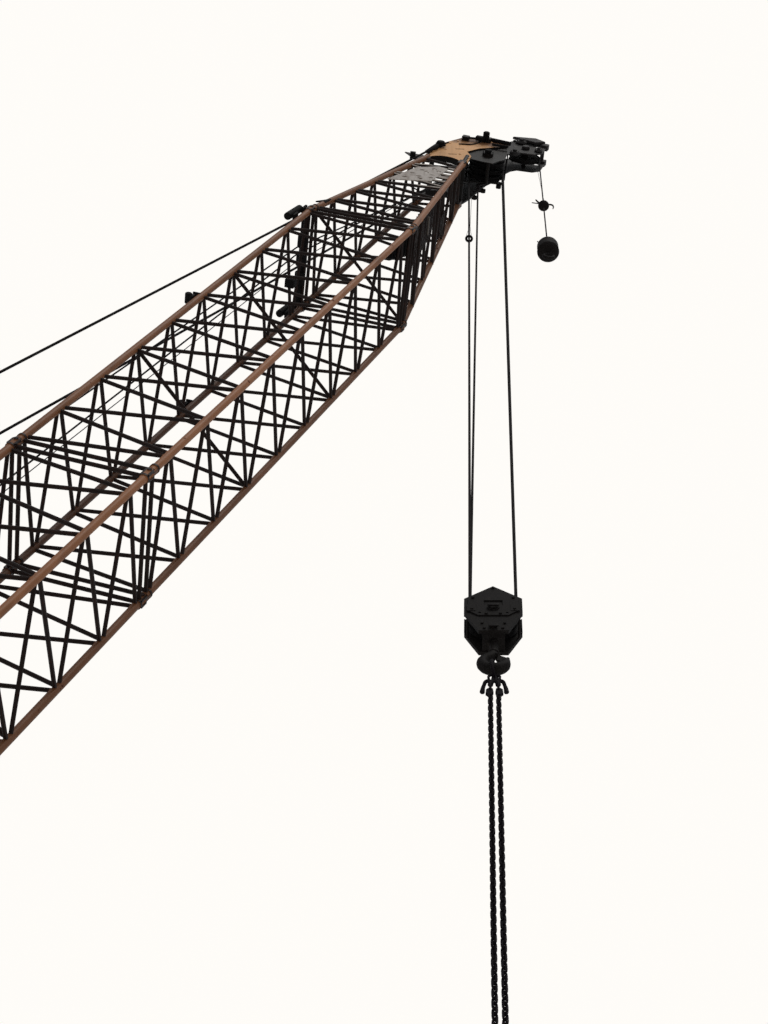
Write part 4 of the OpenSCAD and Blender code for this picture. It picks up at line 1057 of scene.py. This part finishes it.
def make_cab_details():
    """Handle, wiper, mirror, lamps, rails, roof guard and step of the cab."""
    handle = tube([(0.90, CAB_SIDE, 2.20), (0.90, CAB_SIDE - 0.04, 2.22), (0.90, CAB_SIDE - 0.04, 2.42),
                   (0.90, CAB_SIDE, 2.44)], 0.010)
    lock = block((0.90, CAB_SIDE - 0.005, 2.10), (0.09, 0.02, 0.12))
    finished([handle, lock], "cab_door_handle", "door", "seat_vinyl")
    trim = [tube([(2.48, -1.20, 2.02), (2.49, -1.30, 2.35), (2.47, -1.42, 2.75)], 0.007),
            rod((2.46, -1.20, 2.02), (2.51, -1.20, 2.02), 0.025, 12),
            tube([(2.30, CAB_SIDE, 2.75), (2.42, CAB_SIDE - 0.18, 2.78), (2.44, CAB_SIDE - 0.22, 2.62)], 0.010),
            block((2.45, CAB_SIDE - 0.22, 2.50), (0.03, 0.16, 0.26), (0, 0, 0.3), 0.01)]
    for x in (0.72, 1.74):
        trim.append(tube([(x, CAB_SIDE + y, z) for y, z in CAB_RAIL], 0.012))
    for y in (-1.75, -1.13):
        trim.append(rod((2.36, y, CAB_ROOF), (2.36, y, CAB_ROOF + 0.07), 0.014, 8))
        trim.append(rod((2.30, y, CAB_ROOF + 0.12), (2.42, y, CAB_ROOF + 0.11), 0.055, 20, 0.08))
    trim.append(rod((0.95, -1.44, CAB_ROOF + 0.01), (0.95, -1.44, CAB_ROOF + 0.13), 0.06, 20, 0.045))
    trim += [block((x, -1.44, CAB_ROOF + 0.035), (0.025, 0.80, 0.03)) for x in (1.15, 1.40, 1.65, 1.90, 2.15)]
    trim += [block((1.65, y, CAB_ROOF + 0.035), (1.1, 0.025, 0.03)) for y in (-1.84, -1.04)]
    finished(trim, "cab_trim", "upper", "seat_vinyl")
    steps = [block((1.2, -1.83, 1.29), (0.55, 0.20, 0.03))]
    steps += [block((x, -1.80, 1.37), (0.025, 0.12, 0.20)) for x in (0.93, 1.47)]
    finished(steps, "cab_steps", "upper", "frame_paint")


HOUSE_SIDE = 1.65
HOUSE_ROOF = 3.12
HOUSE_DOORS = (-2.72, -1.86, -1.00, -0.14)
LOUVRED = {-1: (-2.72,), 1: (-2.72, -1.86)}
RAIL_POSTS = (-3.05, -2.25, -1.45, -0.65, 0.20)
RAIL_TOP = 4.12
EXHAUST = ((0, 0.54), (0, 0.83), (-0.05, 0.96), (-0.17, 1.02))
LADDER = ((0.31, 1.78), (0.34, 1.80), (0.34, 3.35), (0.20, 3.55), (0.05, 3.35), (0.05, HOUSE_ROOF))


def make_house_details():
    """Doors, louvres, rails, ladder, exhaust, filter and tank caps of the two side houses."""
    panels = []
    dark = []
    for side in SIDES:
        face = side * HOUSE_SIDE
        for x in HOUSE_DOORS:
            panels.append(block((x, face + side * 0.006, 2.42), (0.78, 0.02, 1.22)))
            dark.append(block((x + 0.30, face + side * 0.03, 2.40), (0.035, 0.03, 0.14)))
            for z in (2.02, 2.82):
                hinge = Vector((x - 0.385, face + side * 0.02, z))
                dark.append(rod(hinge - lift(0.06), hinge + lift(0.06), 0.014, 8))
        for x in LOUVRED[side]:
            for row in range(9):
                slat = (x - 0.04, face + side * 0.022, 2.10 + row * 0.075)
                dark.append(block(slat, (0.52, 0.03, 0.03), (side * 0.5, 0, 0), 0.003))
        outer, inner = side * 1.60, side * 1.10
        for x in RAIL_POSTS:
            panels.append(rod((x, outer, HOUSE_ROOF), (x, outer, RAIL_TOP), 0.019, 10))
            panels.append(block((x, outer, 3.14), (0.09, 0.09, 0.012)))
        rear, front = RAIL_POSTS[0], RAIL_POSTS[-1]
        panels.append(rod((rear, inner, HOUSE_ROOF), (rear, inner, RAIL_TOP + 0.01), 0.019, 10))
        for z in (3.62, RAIL_TOP):
            panels.append(tube([(rear, inner, z), (rear, outer, z), (front, outer, z)], 0.019, False))
        for x in (-2.6, -1.6, -0.6):
            panels.append(block((x, side * 1.22, 3.137), (0.70, 0.60, 0.012)))
    for step in range(6):
        z = 1.85 + step * 0.24
        panels.append(rod((0.34, -1.40, z), (0.34, -1.04, z), 0.014, 8))
    for y in (-1.40, -1.04):
        panels.append(tube([(x, y, z) for x, z in LADDER], 0.016, False))
    finished(panels, "house_panels", "upper", "cab_paint")
    muffler = Vector((-1.25, 1.20, HOUSE_ROOF))
    filter_case = Vector((-2.25, 1.20, HOUSE_ROOF))
    dark += [rod(muffler, muffler + lift(0.50), 0.13, 24),
             rod(muffler + lift(0.50), muffler + lift(0.58), 0.13, 24, 0.06),
             tube([muffler + Vector((x, 0, z)) for x, z in EXHAUST], 0.055, sides=4),
             rod(filter_case, filter_case + lift(0.38), 0.17, 28),
             rod(filter_case + lift(0.38), filter_case + lift(0.46), 0.22, 28, 0.12)]
    for x in (-2.4, -0.9):
        cap = Vector((x, -1.22, HOUSE_ROOF))
        dark += [rod(cap, cap + lift(0.08), 0.09, 20), rod(cap + lift(0.08), cap + lift(0.11), 0.11, 6)]
    finished(dark, "house_fittings", "upper", "seat_vinyl")


WEIGHT_LUG = ((-3.62, 2.98), (-3.62, 3.09), (-3.68, 3.16), (-3.76, 3.16), (-3.82, 3.09), (-3.82, 2.98))
RING_BOLTS = 40


def make_base_details():
    """Bolts of the slewing ring, ties of the counterweight, and caps on the pins of gantry and boom."""
    ring = []
    for step in range(RING_BOLTS):
        turn = 2 * math.pi * step / RING_BOLTS
        spot = Vector((math.cos(turn), math.sin(turn), 0))
        ring.append(bolt(spot * 0.985 + lift(1.325), spot, 0.022, 0.03))
    finished(ring, "slew_ring_bolts", "root", "worn_steel")
    ties = [plate(WEIGHT_LUG, y, 0.04) for y in (-1.25, -0.4, 0.4, 1.25)]
    for y in (-1.48, -0.75, 0.75, 1.48):
        ties.append(block((-4.215, y, 2.36), (0.04, 0.10, 1.16)))
        ties += [bolt((-4.235, y, z), (-1, 0, 0), 0.03, 0.03) for z in (1.90, 2.36, 2.80)]
    finished(ties, "counterweight_ties", "upper", "frame_paint")
    caps = []
    for side in SIDES:
        caps.append(rod((-2.10, side * 0.76, 6.73), (-2.10, side * 0.80, 6.73), 0.07, 6))
        caps.append(rod(FOOT + across(side * 0.80), FOOT + across(side * 0.89), 0.10, 24))
        caps.append(block(FOOT + across(side * 0.90), (0.22, 0.02, 0.05)))
    finished(caps, "pin_caps", "upper", "frame_paint")


bpy.context.scene.view_settings.view_transform = "Standard"
place_camera()
light_studio()
lay_floor()
FINISHES = make_finishes()
dress_frame(FINISHES)
make_hook()
make_sling()
make_hoist_ropes()
make_block_details()
make_ball_line()
make_head_details()
make_jib_details()
make_belly_panel()
make_boom_brackets()
make_rope_runs()
make_tracks()
make_winches()
make_cab_details()
make_house_details()
make_base_details()
make_pendant_sockets()
